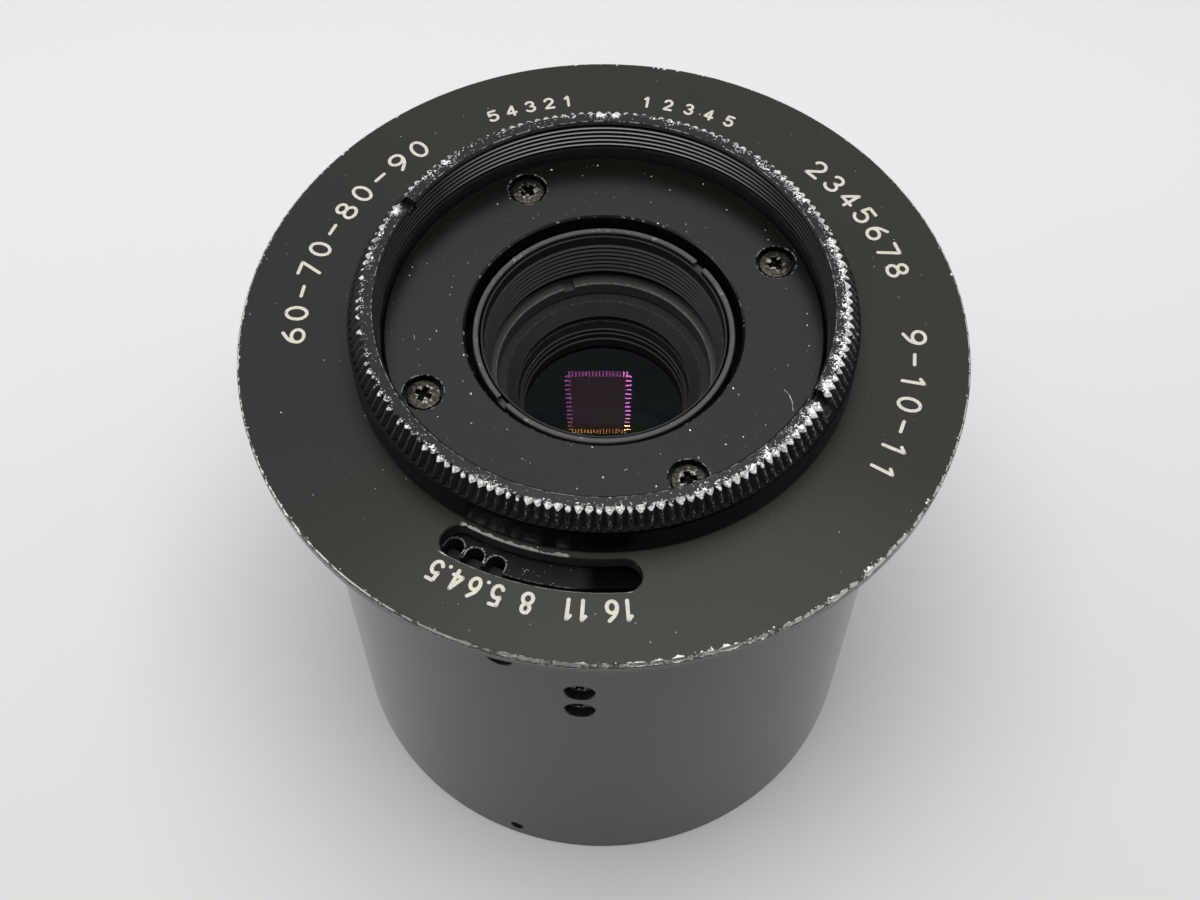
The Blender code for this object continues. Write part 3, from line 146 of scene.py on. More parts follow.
# %% Signals and recipes
class Signal:
    """An output socket that can be used in a Python sum."""

    def __init__(self, recipe, socket):
        self.recipe = recipe
        self.socket = socket

    def math(self, operation, *values):
        return self.recipe.node("ShaderNodeMath", {"operation": operation}, dict(enumerate(values)))

    def __add__(self, other):
        return self.math("ADD", self, other)

    def __radd__(self, other):
        return self.math("ADD", other, self)

    def __sub__(self, other):
        return self.math("SUBTRACT", self, other)

    def __rsub__(self, other):
        return self.math("SUBTRACT", other, self)

    def __mul__(self, other):
        return self.math("MULTIPLY", self, other)

    def __rmul__(self, other):
        return self.math("MULTIPLY", other, self)

    def __truediv__(self, other):
        return self.math("DIVIDE", self, other)

    def __pow__(self, other):
        return self.math("POWER", self, other)

    def __abs__(self):
        return self.math("ABSOLUTE", self)

    def at_least(self, other):
        return self.math("MAXIMUM", self, other)

    def at_most(self, other):
        return self.math("MINIMUM", self, other)

    def rise(self, low, high):
        """0 up to low, 1 from high, and a smooth step between them."""
        limits = {"Value": self, "From Min": low, "From Max": high}
        return self.recipe.node("ShaderNodeMapRange", {"interpolation_type": "SMOOTHSTEP"}, limits)

    def fall(self, low, high):
        return 1 - self.rise(low, high)

    def output(self, name):
        """Another output of the same node."""
        return Signal(self.recipe, self.socket.node.outputs[name])


class Recipe:
    """A node tree that is being written."""

    def __init__(self, tree):
        self.tree = tree

    def node(self, kind, settings=None, inputs=None, output=0):
        """Adds a node: its settings first, then the value or the link of each named socket."""
        made = self.tree.nodes.new(kind)
        for name, value in (settings or {}).items():
            setattr(made, name, value)
        for name, value in (inputs or {}).items():
            socket = made.inputs[name]
            if isinstance(value, Signal):
                self.tree.links.new(value.socket, socket)
            elif socket.type == "RGBA":
                socket.default_value = (*value, 1.0)
            else:
                socket.default_value = value
        return Signal(self, made.outputs[output]) if made.outputs else None


# %% [markdown]
# ## Reading the surface
# Every pattern below is tied to the piece, in millimetres: where the point is, how far from the axis, and
# on which side of the lens. Noise at a stated number of grains to the millimetre gives paint, dust and
# ragged edges their scale.

# %% Places inside a material
Spot = namedtuple("Spot", "point x y radius height")


def spot_of(recipe):
    """The shaded point in millimetres, with its radius and height."""
    place = recipe.node("ShaderNodeTexCoord", output="Object")
    point = recipe.node("ShaderNodeVectorMath", {"operation": "SCALE"}, {0: place, "Scale": 1 / MM})
    x = recipe.node("ShaderNodeSeparateXYZ", {}, {0: point})
    y = x.output("Y")
    return Spot(point, x, y, (x * x + y * y) ** 0.5, x.output("Z"))


def facing(spot, degrees, half_width):
    """1 towards an angle about the axis, falling to 0 at half_width from it."""
    angle = math.radians(degrees)
    share = (spot.x * math.cos(angle) + spot.y * math.sin(angle)) / spot.radius
    return share.rise(math.cos(math.radians(half_width)), 1.0)


def crowded(spot, places):
    """The sum of several facings, each given as its angle, its half width and its share."""
    total = 0.0
    for degrees, half_width, share in places:
        total = facing(spot, degrees, half_width) * share + total
    return total


def between(spot, first, last, soft=2.0):
    """1 between two angles about the axis, in degrees, with soft ends."""
    half = (last - first) / 2
    angle = math.radians((first + last) / 2)
    share = (spot.x * math.cos(angle) + spot.y * math.sin(angle)) / spot.radius
    return share.rise(math.cos(math.radians(half)), math.cos(math.radians(half - soft)))


def noise(recipe, point, grains, detail=2.0, stretch=None):
    """Noise from 0 to 1 about 0.5, with this many grains to the millimetre."""
    if stretch:
        point = recipe.node("ShaderNodeVectorMath", {"operation": "MULTIPLY"}, {0: point, 1: stretch})
    return recipe.node("ShaderNodeTexNoise", {}, {"Vector": point, "Scale": grains, "Detail": detail})


def edge_gap(spot, radius, height):
    """How far the point is from a round edge, in millimetres."""
    across = spot.radius - radius
    above = spot.height - height
    return (across * across + above * above) ** 0.5


def place_gap(spot, radius, degrees):
    """How far the point is in plan from a place about the axis, in millimetres."""
    centre = polar(radius, degrees) / MM
    across, along = spot.x - centre.x, spot.y - centre.y
    return (across * across + along * along) ** 0.5


def nearest(gaps):
    """The least of several signals."""
    least, *others = gaps
    for gap in others:
        least = least.at_most(gap)
    return least


def mixed(recipe, share, first, second):
    """A blend of two colours."""
    return recipe.node("ShaderNodeMix", {"data_type": "RGBA"}, {0: share, 6: first, 7: second}, output=2)


def blended(share, first, second):
    """A blend of two numbers."""
    return share * (second - first) + first


# %% [markdown]
# ## Paint over metal
# Most of this lens is turned aluminium under black anodising or paint. Where it rubs, the black goes and
# bright metal shows, with a hard ragged border. So one finish serves them all: a coat, a mask that says
# where it is gone, the metal below, and a fine grain in the surface.

# %% The finish maker
BARE_METAL = (0.62, 0.61, 0.60)


def new_recipe(name):
    material = bpy.data.materials.new(name)
    material.use_nodes = True
    material.node_tree.nodes.clear()
    return material, Recipe(material.node_tree)


def lay(
    recipe, coat, roughness, worn, height, depth_mm, specular=0.5,
    metal=BARE_METAL, metal_roughness=0.38, shine=1.0,
):
    """The shader of a coat over metal. worn is 0 under the coat and 1 on bare metal.

    shine below 1 is for scratched metal, which scatters some of the light as paint does.
    """
    if isinstance(height, Signal):
        bump = {"Height": height, "Distance": depth_mm * MM}
        normal = {"Normal": recipe.node("ShaderNodeBump", {}, bump)}
    else:
        normal = {}
    shader = recipe.node(
        "ShaderNodeBsdfPrincipled",
        {},
        {
            "Base Color": mixed(recipe, worn, coat, metal),
            "Metallic": worn * shine,
            "Roughness": blended(worn, roughness, metal_roughness),
            "Specular IOR Level": specular,
            **normal,
        },
    )
    recipe.node("ShaderNodeOutputMaterial", {}, {"Surface": shader})


# %% [markdown]
# ## Floor and light
# The lens stands in a small white light box. Its roof carries a frame of lamps, whose dotted outline the
# front glass shows. The frame is made of small glowing plates that only the glass mirrors; two broad soft
# lamps do the lighting, and the world fills in from the white walls.

# %% Floor
FLOOR_WIDE = 3.0
# painted shade: the far and near colours are the floor made darker where its light falls off
FLOOR_FAR_SHADE_COLOUR = (0.65, 0.65, 0.65)
FLOOR_COLOUR = (0.72, 0.72, 0.718)
FLOOR_NEAR_SHADE_COLOUR = (0.58, 0.58, 0.568)
FLOOR_NEAR_SHADE = (-75.0, 170.0)  # where along Y the near colour gives way, in millimetres
FLOOR_FAR_SHADE = (20.0, 260.0)  # where along Y the far colour comes in


def make_floor():
    mesh = bpy.data.meshes.new("floor")
    half = FLOOR_WIDE / 2
    corners = [(-half, -half, 0), (half, -half, 0), (half, half, 0), (-half, half, 0)]
    mesh.from_pydata(corners, [], [(0, 1, 2, 3)])
    floor = bpy.data.objects.new("floor", mesh)
    bpy.context.scene.collection.objects.link(floor)
    material, recipe = new_recipe("light_box_floor")
    spot = spot_of(recipe)
    # painted shade: the floor's colour darkens towards the far side, and more towards the near side
    near = spot.y.fall(*FLOOR_NEAR_SHADE)
    cloth = noise(recipe, spot.point, 0.02)
    colour = mixed(recipe, spot.y.rise(*FLOOR_FAR_SHADE), FLOOR_COLOUR, FLOOR_FAR_SHADE_COLOUR)
    colour = mixed(recipe, near * (0.85 + cloth * 0.3), colour, FLOOR_NEAR_SHADE_COLOUR)
    shader = recipe.node("ShaderNodeBsdfPrincipled", {}, {"Base Color": colour, "Roughness": 0.8})
    recipe.node("ShaderNodeOutputMaterial", {}, {"Surface": shader})
    mesh.materials.append(material)
    floor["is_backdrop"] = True


make_floor()
print(f"floor {FLOOR_WIDE:.0f} m square")

# %% World and lamps
WALL_LIGHT = 0.44
WALL_SEEN = 0.45
ROOF_SEEN = 1.45


def make_world():
    world = bpy.data.worlds.new("light_box")
    world.use_nodes = True
    world.node_tree.nodes.clear()
    recipe = Recipe(world.node_tree)
    ray = recipe.node("ShaderNodeLightPath", output="Is Camera Ray")
    seen = ray.at_least(ray.output("Is Transmission Ray")).at_least(ray.output("Is Glossy Ray"))
    toward = recipe.node("ShaderNodeTexCoord", output="Generated")
    upward = recipe.node("ShaderNodeSeparateXYZ", {}, {0: toward}, "Z")
    white = (1.0, 1.0, 1.0)
    walls = recipe.node("ShaderNodeBackground", {}, {"Color": white, "Strength": WALL_LIGHT})
    level = blended(upward.rise(0.45, 1.0), WALL_SEEN, ROOF_SEEN)
    back = recipe.node("ShaderNodeBackground", {}, {"Color": white, "Strength": level})
    surface = recipe.node("ShaderNodeMixShader", {}, {0: seen, 1: walls, 2: back})
    recipe.node("ShaderNodeOutputWorld", {}, {"Surface": surface})
    bpy.context.scene.world = world


def soft_lamp(name, place, aim, wide, long, watts, reflected=True):
    data = bpy.data.lights.new(name, "AREA")
    data.shape = "RECTANGLE"
    data.size = wide
    data.size_y = long
    data.energy = watts
    lamp = bpy.data.objects.new(name, data)
    bpy.context.scene.collection.objects.link(lamp)
    lamp.location = place
    lamp.rotation_euler = (Vector(aim) - Vector(place)).to_track_quat("-Z", "Y").to_euler()
    lamp.visible_glossy = reflected
    lamp.visible_camera = False


make_world()
AIM = (0.0, 0.0, 0.06)
soft_lamp("roof_lamp", (0.0, -0.04, 0.70), AIM, 0.50, 0.40, 4.6, reflected=False)
soft_lamp("left_wall_lamp", (-0.55, -0.05, 0.25), AIM, 0.35, 0.40, 0.4)

# %% The lamp frame in the roof
LAMP_FRAME = (-0.032, 0.048, 0.112, 0.252)  # left, right, near and far sides, in metres
LAMP_FRAME_HEIGHT = 0.35
LAMP_PITCH = (0.0044, 0.0100)  # along the near and far sides, and along the left and right sides
LAMP_WIDE = (0.0125, 0.0075)
LAMP_SHARE = 0.34  # of the pitch that a lamp fills
LAMP_GLOW = 15.0
LIT_CLOTH = ((0.27, 0.74, 0.24), (0.22, 0.34, 0.60))  # its colour at the near side and at the far side
DARK_CLOTH = ((0.08, 0.44, 0.12), (0.07, 0.30, 0.22))
CLOTH_TURN = (205.0, 250.0)  # where along Y the cloth turns from one to the other, in millimetres
ROOF_CLOTH = 0.5  # half the width of the dark cloth round the lamps, in metres
OPENING = (0.40, -0.34, 0.45)  # half its width, its place and its height, in metres


# %% Seen only in the glass
def sharply_seen(name, strength, colours=None):
    """A glow that only a sharp mirror such as glass shows. Every other ray goes straight through."""
    material, recipe = new_recipe(name)
    if colours:
        colour = mixed(recipe, spot_of(recipe).y.rise(*CLOTH_TURN), *colours)
    else:
        colour = recipe.node("ShaderNodeAttribute", {"attribute_name": "glow"}, {}, "Color")
    sharp = recipe.node("ShaderNodeLightPath", output="Is Singular Ray")
    glow = recipe.node("ShaderNodeEmission", {}, {"Color": colour, "Strength": strength})
    clear = recipe.node("ShaderNodeBsdfTransparent")
    both = recipe.node("ShaderNodeMixShader", {}, {0: sharp, 1: clear, 2: glow})
    recipe.node("ShaderNodeOutputMaterial", {}, {"Surface": both})
    return material


def reflected_only(name, mesh, material):
    """A stage piece, such as the lamps, that is seen only in a reflection."""
    data = bpy.data.meshes.new(name)
    mesh.to_mesh(data)
    mesh.free()
    lamps = bpy.data.objects.new(name, data)
    bpy.context.scene.collection.objects.link(lamps)
    data.materials.append(material)
    lamps.visible_camera = False
    lamps.visible_diffuse = False
    lamps.visible_shadow = False
    lamps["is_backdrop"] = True
    return lamps


# %% Lamps, cloths and the front opening
def make_lamp_frame():
    left, right, near, far = LAMP_FRAME
    mesh = bmesh.new()
    glow = mesh.faces.layers.float_color.new("glow")
    # each side's ends, its kind, its level, and how many times brighter its last two lamps are
    sides = [((right, near), (left, near), 0, 0.22, 3.0), ((left, near), (left, far), 1, 0.66, 4.5)]
    sides += [((left, far), (right, far), 0, 0.34, 1.0), ((right, far), (right, near), 1, 0.20, 1.0)]
    for start, end, kind, level, last_two in sides:
        start, end = Vector(start), Vector(end)
        count = round((end - start).length / LAMP_PITCH[kind])
        along = (end - start).normalized()
        across = Vector((-along.y, along.x))
        for i in range(count):
            middle = start.lerp(end, (i + 0.5) / count)
            a, b = along * LAMP_PITCH[kind] * LAMP_SHARE / 2, across * LAMP_WIDE[kind] / 2
            corners = [middle - a - b, middle - a + b, middle + a + b, middle + a - b]
            face = mesh.faces.new([mesh.verts.new((*corner, LAMP_FRAME_HEIGHT)) for corner in corners])
            share = level * (last_two if i >= count - 2 else 1.0)
            face[glow] = (share, share, share, 1.0)
    return reflected_only("lamp_frame", mesh, sharply_seen("lamp_glow", LAMP_GLOW))


def sheet(name, corners, material):
    mesh = bmesh.new()
    mesh.faces.new([mesh.verts.new(corner) for corner in corners])
    return reflected_only(name, mesh, material)


def make_cloths():
    """The faintly lit cloth within the lamps, and the dark cloth round it."""
    left, right, near, far = LAMP_FRAME
    high = LAMP_FRAME_HEIGHT + 0.01
    within = [(left, near, high), (right, near, high), (right, far, high), (left, far, high)]
    sheet("lit_cloth", within, sharply_seen("lit_cloth", 1.0, LIT_CLOTH))
    half, high = ROOF_CLOTH, high + 0.01
    around = [(-half, -half, high), (half, -half, high), (half, half, high), (-half, half, high)]
    sheet("dark_cloth", around, sharply_seen("dark_cloth", 1.0, DARK_CLOTH))


def make_opening():
    """The dark front opening, through which the room beyond shows in every polished wall."""
    half, place, high = OPENING
    material, recipe = new_recipe("dark_room")
    dark = recipe.node("ShaderNodeEmission", {}, {"Strength": 0.0})
    recipe.node("ShaderNodeOutputMaterial", {}, {"Surface": dark})
    corners = [(-half, place, 0.0), (half, place, 0.0), (half, place, high), (-half, place, high)]
    sheet("opening", corners, material)


lamp_frame = make_lamp_frame()
make_cloths()
make_opening()
print(f"{len(lamp_frame.data.polygons)} small lamps in the roof frame")

# %% [markdown]
# ## Turning
# A lathe makes each of these pieces, and the same idea makes their meshes: an outline of radius and height
# is carried round the axis. Enough steps make the rim look round at any distance, and small chamfers in
# the outline catch the light as real edges do.

# %% The lathe
def turned(profile, steps=TURNS):
    """A closed mesh from an outline of (radius, height) points in millimetres."""
    mesh = bmesh.new()
    rows = []
    for radius, height in profile:
        if radius == 0:
            rows.append([mesh.verts.new((0.0, 0.0, height * MM))] * steps)
        else:
            rows.append([mesh.verts.new(polar(radius, 360 * i / steps, height)) for i in range(steps)])
    for row, after in zip(rows, rows[1:] + rows[:1]):
        for i in range(steps):
            j = (i + 1) % steps
            corners = list(dict.fromkeys((row[i], row[j], after[j], after[i])))
            if len(corners) > 2:
                mesh.faces.new(corners)
    bmesh.ops.recalc_face_normals(mesh, faces=mesh.faces)
    return mesh


def piece(name, mesh, material=None):
    """Turns a bmesh into a linked object with crisp edges."""
    data = bpy.data.meshes.new(name)
    bmesh.ops.recalc_face_normals(mesh, faces=mesh.faces)
    mesh.to_mesh(data)
    mesh.free()
    dress(data, material)
    made = bpy.data.objects.new(name, data)
    bpy.context.scene.collection.objects.link(made)
    return made


def dress(data, material):
    data.shade_smooth()
    data.set_sharp_from_angle(angle=SHARP_EDGE)
    if material:
        data.materials.clear()
        data.materials.append(material)


# %% [markdown]
# ## Drilling and milling
# Holes, slots and notches are taken out with Booleans. Cutters of one kind are joined first, so that each
# kind takes one Boolean, and a cutter that widens at the surface leaves the small chamfer of a drilled hole.

# %% Cutters
def cone(mesh, start, end, start_radius, end_radius, steps=48):
    """A closed cone or cylinder between two points in metres, with radii in millimetres."""
    along = end - start
    place = Matrix.Translation((start + end) / 2) @ along.to_track_quat("Z", "Y").to_matrix().to_4x4()
    radii = {"radius1": start_radius * MM, "radius2": end_radius * MM}
    bmesh.ops.create_cone(
        mesh, cap_ends=True, segments=steps, depth=along.length, matrix=place, **radii
    )


def prism(mesh, outline, low, high, flare=0.0, flare_height=0.0):
    """A closed prism over an outline of (x, y) points in millimetres. It may widen near its top."""
    heights = [(low, 0.0), (high - flare_height, 0.0), (high, flare)]
    if not flare:
        heights = [(low, 0.0), (high, 0.0)]
    rows = []
    count = len(outline)
    for height, grow in heights:
        row = []
        for i, point in enumerate(outline):
            before, after = Vector(outline[i - 1]), Vector(outline[(i + 1) % count])
            along = (after - before).normalized()
            x, y = Vector(point) + Vector((along.y, -along.x)) * grow
            row.append(mesh.verts.new((x * MM, y * MM, height * MM)))
        rows.append(row)
    mesh.faces.new(rows[0][::-1])
    mesh.faces.new(rows[-1])
    for row, above in zip(rows, rows[1:]):
        for i in range(count):
            j = (i + 1) % count
            mesh.faces.new((row[i], row[j], above[j], above[i]))


def block(mesh, degrees, inner, outer, width, low, high):
    """A box across a wall at an angle: a spanner notch."""
    turn = Matrix.Rotation(math.radians(degrees), 2)
    half = width / 2
    corners = [(inner, -half), (outer, -half), (outer, half), (inner, half)]
    prism(mesh, [turn @ Vector(corner) for corner in corners], low, high)


def milled(target, cutter_mesh, material):
    """The target with the cutters taken out of it, as a plain mesh."""
    cutter = piece(target.name + "_cutter", cutter_mesh)
    change = target.modifiers.new("milling", "BOOLEAN")
    change.operation = "DIFFERENCE"
    change.solver = "EXACT"
    change.use_self = True
    change.object = cutter
    settle(target, material)
    bpy.data.objects.remove(cutter, do_unlink=True)
    return target


def settle(target, material):
    """Keeps the result of the object's modifiers as its mesh."""
    graph = bpy.context.evaluated_depsgraph_get()
    data = bpy.data.meshes.new_from_object(target.evaluated_get(graph))
    target.modifiers.clear()
    target.data = data
    data.name = target.name
    dress(data, material)


def fit(made, body, slot, *nodes):
    """Lets a piece ride on its body in place of the frame's plain nodes."""
    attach(made, body)
    if nodes:
        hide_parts(*nodes)
    print(f"{made.name}: {len(made.data.polygons)} faces on {body}")
    return made


# %% [markdown]
# ## Trees that repeat a shape
# Teeth, screws, ridges, figures and dust are one shape many times over. A Geometry Nodes tree says how
# the copies are laid out, its named inputs are the sizes that a maker would change, and the result is
# kept as a plain mesh so that it can ride on its body.

# %% Geometry Nodes helpers
SOCKETS = {
    "count": "NodeSocketInt",
    "size": "NodeSocketFloat",
    "shape": "NodeSocketObject",
    "finish": "NodeSocketMaterial",
}


def new_tree(name, inputs):
    """A Geometry Nodes tree with these named inputs, its recipe and its input signals."""
    tree = bpy.data.node_groups.new(name, "GeometryNodeTree")
    tree.interface.new_socket("Geometry", in_out="INPUT", socket_type="NodeSocketGeometry")
    for label, kind in inputs.items():
        tree.interface.new_socket(label, in_out="INPUT", socket_type=SOCKETS[kind])
    tree.interface.new_socket("Geometry", in_out="OUTPUT", socket_type="NodeSocketGeometry")
    recipe = Recipe(tree)
    source = recipe.node("NodeGroupInput")
    return tree, recipe, source


def shape_of(recipe, source, label):
    """The geometry of the object that one of the tree's inputs names."""
    named = {"Object": source.output(label)}
    return recipe.node("GeometryNodeObjectInfo", {"transform_space": "ORIGINAL"}, named, "Geometry")


def copies_at(recipe, points, shape, **more):
    """A copy of the shape at each point."""
    inputs = {"Points": points, "Instance": shape, **more}
    return recipe.node("GeometryNodeInstanceOnPoints", {}, inputs)


def random_share(recipe, seed, highest=1.0):
    """A random number from 0 to highest for each copy."""
    limits = {2: 0.0, 3: highest, "Seed": seed}
    return recipe.node("FunctionNodeRandomValue", {"data_type": "FLOAT"}, limits, 1)


def joined(recipe, first, second):
    both = recipe.node("GeometryNodeJoinGeometry", {}, {0: first})
    recipe.tree.links.new(second.socket, both.socket.node.inputs[0])
    return both


def close_tree(recipe, geometry, material):
    """Ends the tree in Realize Instances and Set Material."""
    real = recipe.node("GeometryNodeRealizeInstances", {}, {0: geometry})
    shown = recipe.node("GeometryNodeSetMaterial", {}, {"Geometry": real, "Material": material})
    recipe.node("NodeGroupOutput", {}, {0: shown})


def grown(name, tree, source, inputs, material):
    """Runs a tree on a source mesh or curve and keeps the result as a plain mesh piece."""
    carrier = bpy.data.objects.new(name + "_carrier", source)
    bpy.context.scene.collection.objects.link(carrier)
    change = carrier.modifiers.new(name, "NODES")
    change.node_group = tree
    for item in tree.interface.items_tree:
        if item.in_out == "INPUT" and item.name in inputs:
            change[item.identifier] = inputs[item.name]
    graph = bpy.context.evaluated_depsgraph_get()
    data = bpy.data.meshes.new_from_object(carrier.evaluated_get(graph))
    bpy.data.objects.remove(carrier, do_unlink=True)
    data.name = name
    made = bpy.data.objects.new(name, data)
    bpy.context.scene.collection.objects.link(made)
    dress(data, material)
    return made


# %% [markdown]
# ## The barrel
# The outer barrel is a plain tube, turned and anodised a smooth satin black. Radial screws go in through
# drilled holes: three hold the flange's sleeve, two one above the other hold the stop inside, and three
# small set screws near the foot hold the rear ring. The finish is the coat over metal with fine turning
# marks, which run round the tube, so the noise is stretched along them.

# %% Barrel finish
def barrel_finish():
    material, recipe = new_recipe("satin_barrel")
    spot = spot_of(recipe)
    tone = noise(recipe, spot.point, 0.05)
    marks = noise(recipe, spot.point, 1.0, 3.0, stretch=(0.12, 0.12, 5.0))
    grain = noise(recipe, spot.point, 7.0)
    coat = mixed(recipe, tone * 0.6 + marks * 0.4, (0.011, 0.0108, 0.0108), (0.018, 0.0177, 0.0177))
    rim = edge_gap(spot, BARREL_R - 0.15, 0.15)
    rubbed = (noise(recipe, spot.point, 1.6, 3.0) - rim * 0.5).rise(0.50, 0.54)
    rough = 0.09 + marks * 0.04 + tone * 0.03
    lay(recipe, coat, rough, rubbed, marks * 0.6 + grain * 0.4, 0.002, 0.36)
    return material


# %% The drilled barrel
SCREW_HEIGHT = BARREL_TOP - 14.9
SCREW_DEG = -109.3
STOP_DEG = -94.45
STOP_SCREW_HEIGHTS = (SCREW_HEIGHT - 6.2, SCREW_HEIGHT - 11.6)
SET_SCREW_DEG = -109.6
SET_SCREW_HEIGHT = 3.1
HOLE_R = 1.95
SET_HOLE_R = 0.95
HOLE_CHAMFER = 0.16
WALL = 2.2
EDGE = 0.3  # the chamfer of the large turned pieces
SHOULDER = (9.0, 11.0)  # heights of the shoulder that the guide tube's foot rests on
SHOULDER_WIDE = 2.0


def radial_hole(mesh, degrees, height, radius):
    """A cutter through the barrel wall that widens at the surface."""
    inner = polar(BARREL_R - WALL - 0.4, degrees, height)
    outer = polar(BARREL_R + 0.5, degrees, height)
    cone(mesh, inner, outer, radius, radius)
    mouth = polar(BARREL_R - HOLE_CHAMFER, degrees, height)
    beyond = polar(BARREL_R + HOLE_CHAMFER, degrees, height)
    cone(mesh, mouth, beyond, radius, radius + 2 * HOLE_CHAMFER)


def every_third(first):
    return [first + 120.0 * i for i in range(3)]


def make_barrel():
    bore = BARREL_R - WALL
    under, over = SHOULDER
    profile = [(BARREL_R, BARREL_TOP), (BARREL_R, EDGE), (BARREL_R - EDGE, 0.0), (bore + EDGE, 0.0)]
    profile += [(bore, EDGE), (bore, under), (bore - SHOULDER_WIDE, under)]
    profile += [(bore - SHOULDER_WIDE, over), (bore, over), (bore, BARREL_TOP)]
    barrel = piece("barrel", turned(profile))
    holes = bmesh.new()
    for degrees in every_third(SCREW_DEG):
        radial_hole(holes, degrees, SCREW_HEIGHT, HOLE_R)
    for height in STOP_SCREW_HEIGHTS:
        radial_hole(holes, STOP_DEG, height, HOLE_R)
    for degrees in every_third(SET_SCREW_DEG):
        radial_hole(holes, degrees, SET_SCREW_HEIGHT, SET_HOLE_R)
    return milled(barrel, holes, barrel_finish())


fit(make_barrel(), "housing", "barrel_black", "outer_barrel")

# %% [markdown]
# ## The flange
# A broad thin disc carries the lens in its mount and carries the figures. Its black is flat and slightly
# warm. Years of mounting have chipped the outer rim down to the metal, most of all at the front, and a pin
# that turns the aperture ring has rubbed the inner edge of the curved slot bright.

# %% Flange finish
RIM_R = FLANGE_R - 0.15
RIM_HEIGHT = FLANGE_TOP - 0.15
SLOT_R = 33.85
SLOT_HALF = 2.15
SLOT_ENDS = (-119.44, -86.26)
FLANGE_BORE = 29.6
REBATE_R = 38.8
REBATE_DEEP = 0.6
SPIGOT_R = 36.0
SPIGOT_BORE = 34.7
SPIGOT_LONG = 17.0
SHANK_HOLE_R = 1.15
CHIPPED = (  # where the rim is chipped most: angle, half width, share
    (-55, 42, 0.12), (-84, 24, 0.03), (88, 22, 0.10), (175, 24, 0.06), (146, 26, 0.07),
)


def flange_finish():
    material, recipe = new_recipe("flat_black_flange")
    spot = spot_of(recipe)
    cloud = noise(recipe, spot.point, 0.09)
    grain = noise(recipe, spot.point, 5.0, 3.0)
    coat = mixed(recipe, cloud * 0.55 + grain * 0.45, (0.0060, 0.0050, 0.0030), (0.0130, 0.0117, 0.0085))
    # painted highlight: the coat is made lighter towards the front, as a sheen
    coat = mixed(recipe, facing(spot, -82, 56) * 0.8, coat, (0.0270, 0.0262, 0.0230))
    # painted shade: the coat is made darker towards the left
    coat = mixed(recipe, facing(spot, 180, 60) * 0.7, coat, (0.0026, 0.0023, 0.0016))

    gap = edge_gap(spot, RIM_R, RIM_HEIGHT)
    crowd = crowded(spot, CHIPPED)
    flakes = noise(recipe, spot.point, 0.95, 4.0)
    chips = (flakes + crowd - gap * 0.30).rise(0.605, 0.635)
    nicks = (noise(recipe, spot.point, 2.6, 3.0) + crowd * 0.5 - gap * 0.42).rise(0.55, 0.60)
    lower = edge_gap(spot, RIM_R, FLANGE_LOW + 0.15)
    broken = noise(recipe, spot.point, 0.9, 4.0).rise(0.44, 0.54)
    ragged = facing(spot, -66, 56) * (flakes - 0.36) * 0.9
    hairline = (gap - ragged).fall(0.06, 0.14) * (0.04 + broken * 0.90)
    hairline = hairline.at_least(lower.fall(0.08, 0.18) * broken * 0.35)

    at_top = spot.height.rise(FLANGE_TOP - 0.35, FLANGE_TOP - 0.05)
    scuff = noise(recipe, spot.point, 1.3, 4.0)
    inner = abs(spot.radius - (SLOT_R - SLOT_HALF - 0.06))
    rubbed = between(spot, -121.5, -97.0, 1.5) * at_top
    rubbed = rubbed * ((scuff - 0.5) * 1.1 + 0.22 - inner).rise(0.05, 0.09)
    outer = abs(spot.radius - (SLOT_R + SLOT_HALF + 0.05))
    lipped = between(spot, -122.0, -84.5, 1.5) * at_top * (scuff * 0.24 - outer).rise(0.04, 0.09) * 0.7
    # the upright side of the rim is smooth, with a painted shadow: a line of deep black under its bright
    # edge
    upright = spot.radius.rise(FLANGE_R - 0.05, FLANGE_R - 0.02)
    line = spot.height.fall(FLANGE_TOP - 0.42, FLANGE_TOP - 0.33)
    line = line * spot.height.rise(FLANGE_TOP - 0.95, FLANGE_TOP - 0.75)
    grime_and_painted_shadow = upright * line * noise(recipe, spot.point, 1.7, 3.0).rise(0.38, 0.46)

    worn = chips.at_least(nicks).at_least(hairline).at_least(rubbed).at_least(lipped)
    metal = mixed(recipe, grime_and_painted_shadow * (1 - worn), (0.86, 0.85, 0.82), (0.004, 0.004, 0.004))
    worn = worn.at_least(grime_and_painted_shadow)
    height = (grain * 0.8 - chips * 1.2) * (1 - upright * 0.8)
    rough = blended(upright, 0.38 + grain * 0.08, 0.13)
    lay(recipe, coat, rough, worn, height, 0.02, 0.42, metal=metal, metal_roughness=0.42)
    return material


# %% The curved slot
def arc_points(centre, radius, first, last, steps):
    """Points of an arc in the plane, in millimetres."""
    turns = [math.radians(first + (last - first) * i / steps) for i in range(steps + 1)]
    return [(centre[0] + radius * math.cos(t), centre[1] + radius * math.sin(t)) for t in turns]


def slot_outline(half):
    """The round-ended curved slot, widened to this half width."""
    first, last = SLOT_ENDS
    ends = [polar(SLOT_R, degrees) / MM for degrees in SLOT_ENDS]
    outline = arc_points((0, 0), SLOT_R + half, first, last, 48)
    outline += arc_points(ends[1], half, last, last + 180, 16)[1:]
    outline += arc_points((0, 0), SLOT_R - half, last, first, 48)[1:]
    outline += arc_points(ends[0], half, first + 180, first + 360, 16)[1:-1]
    return outline


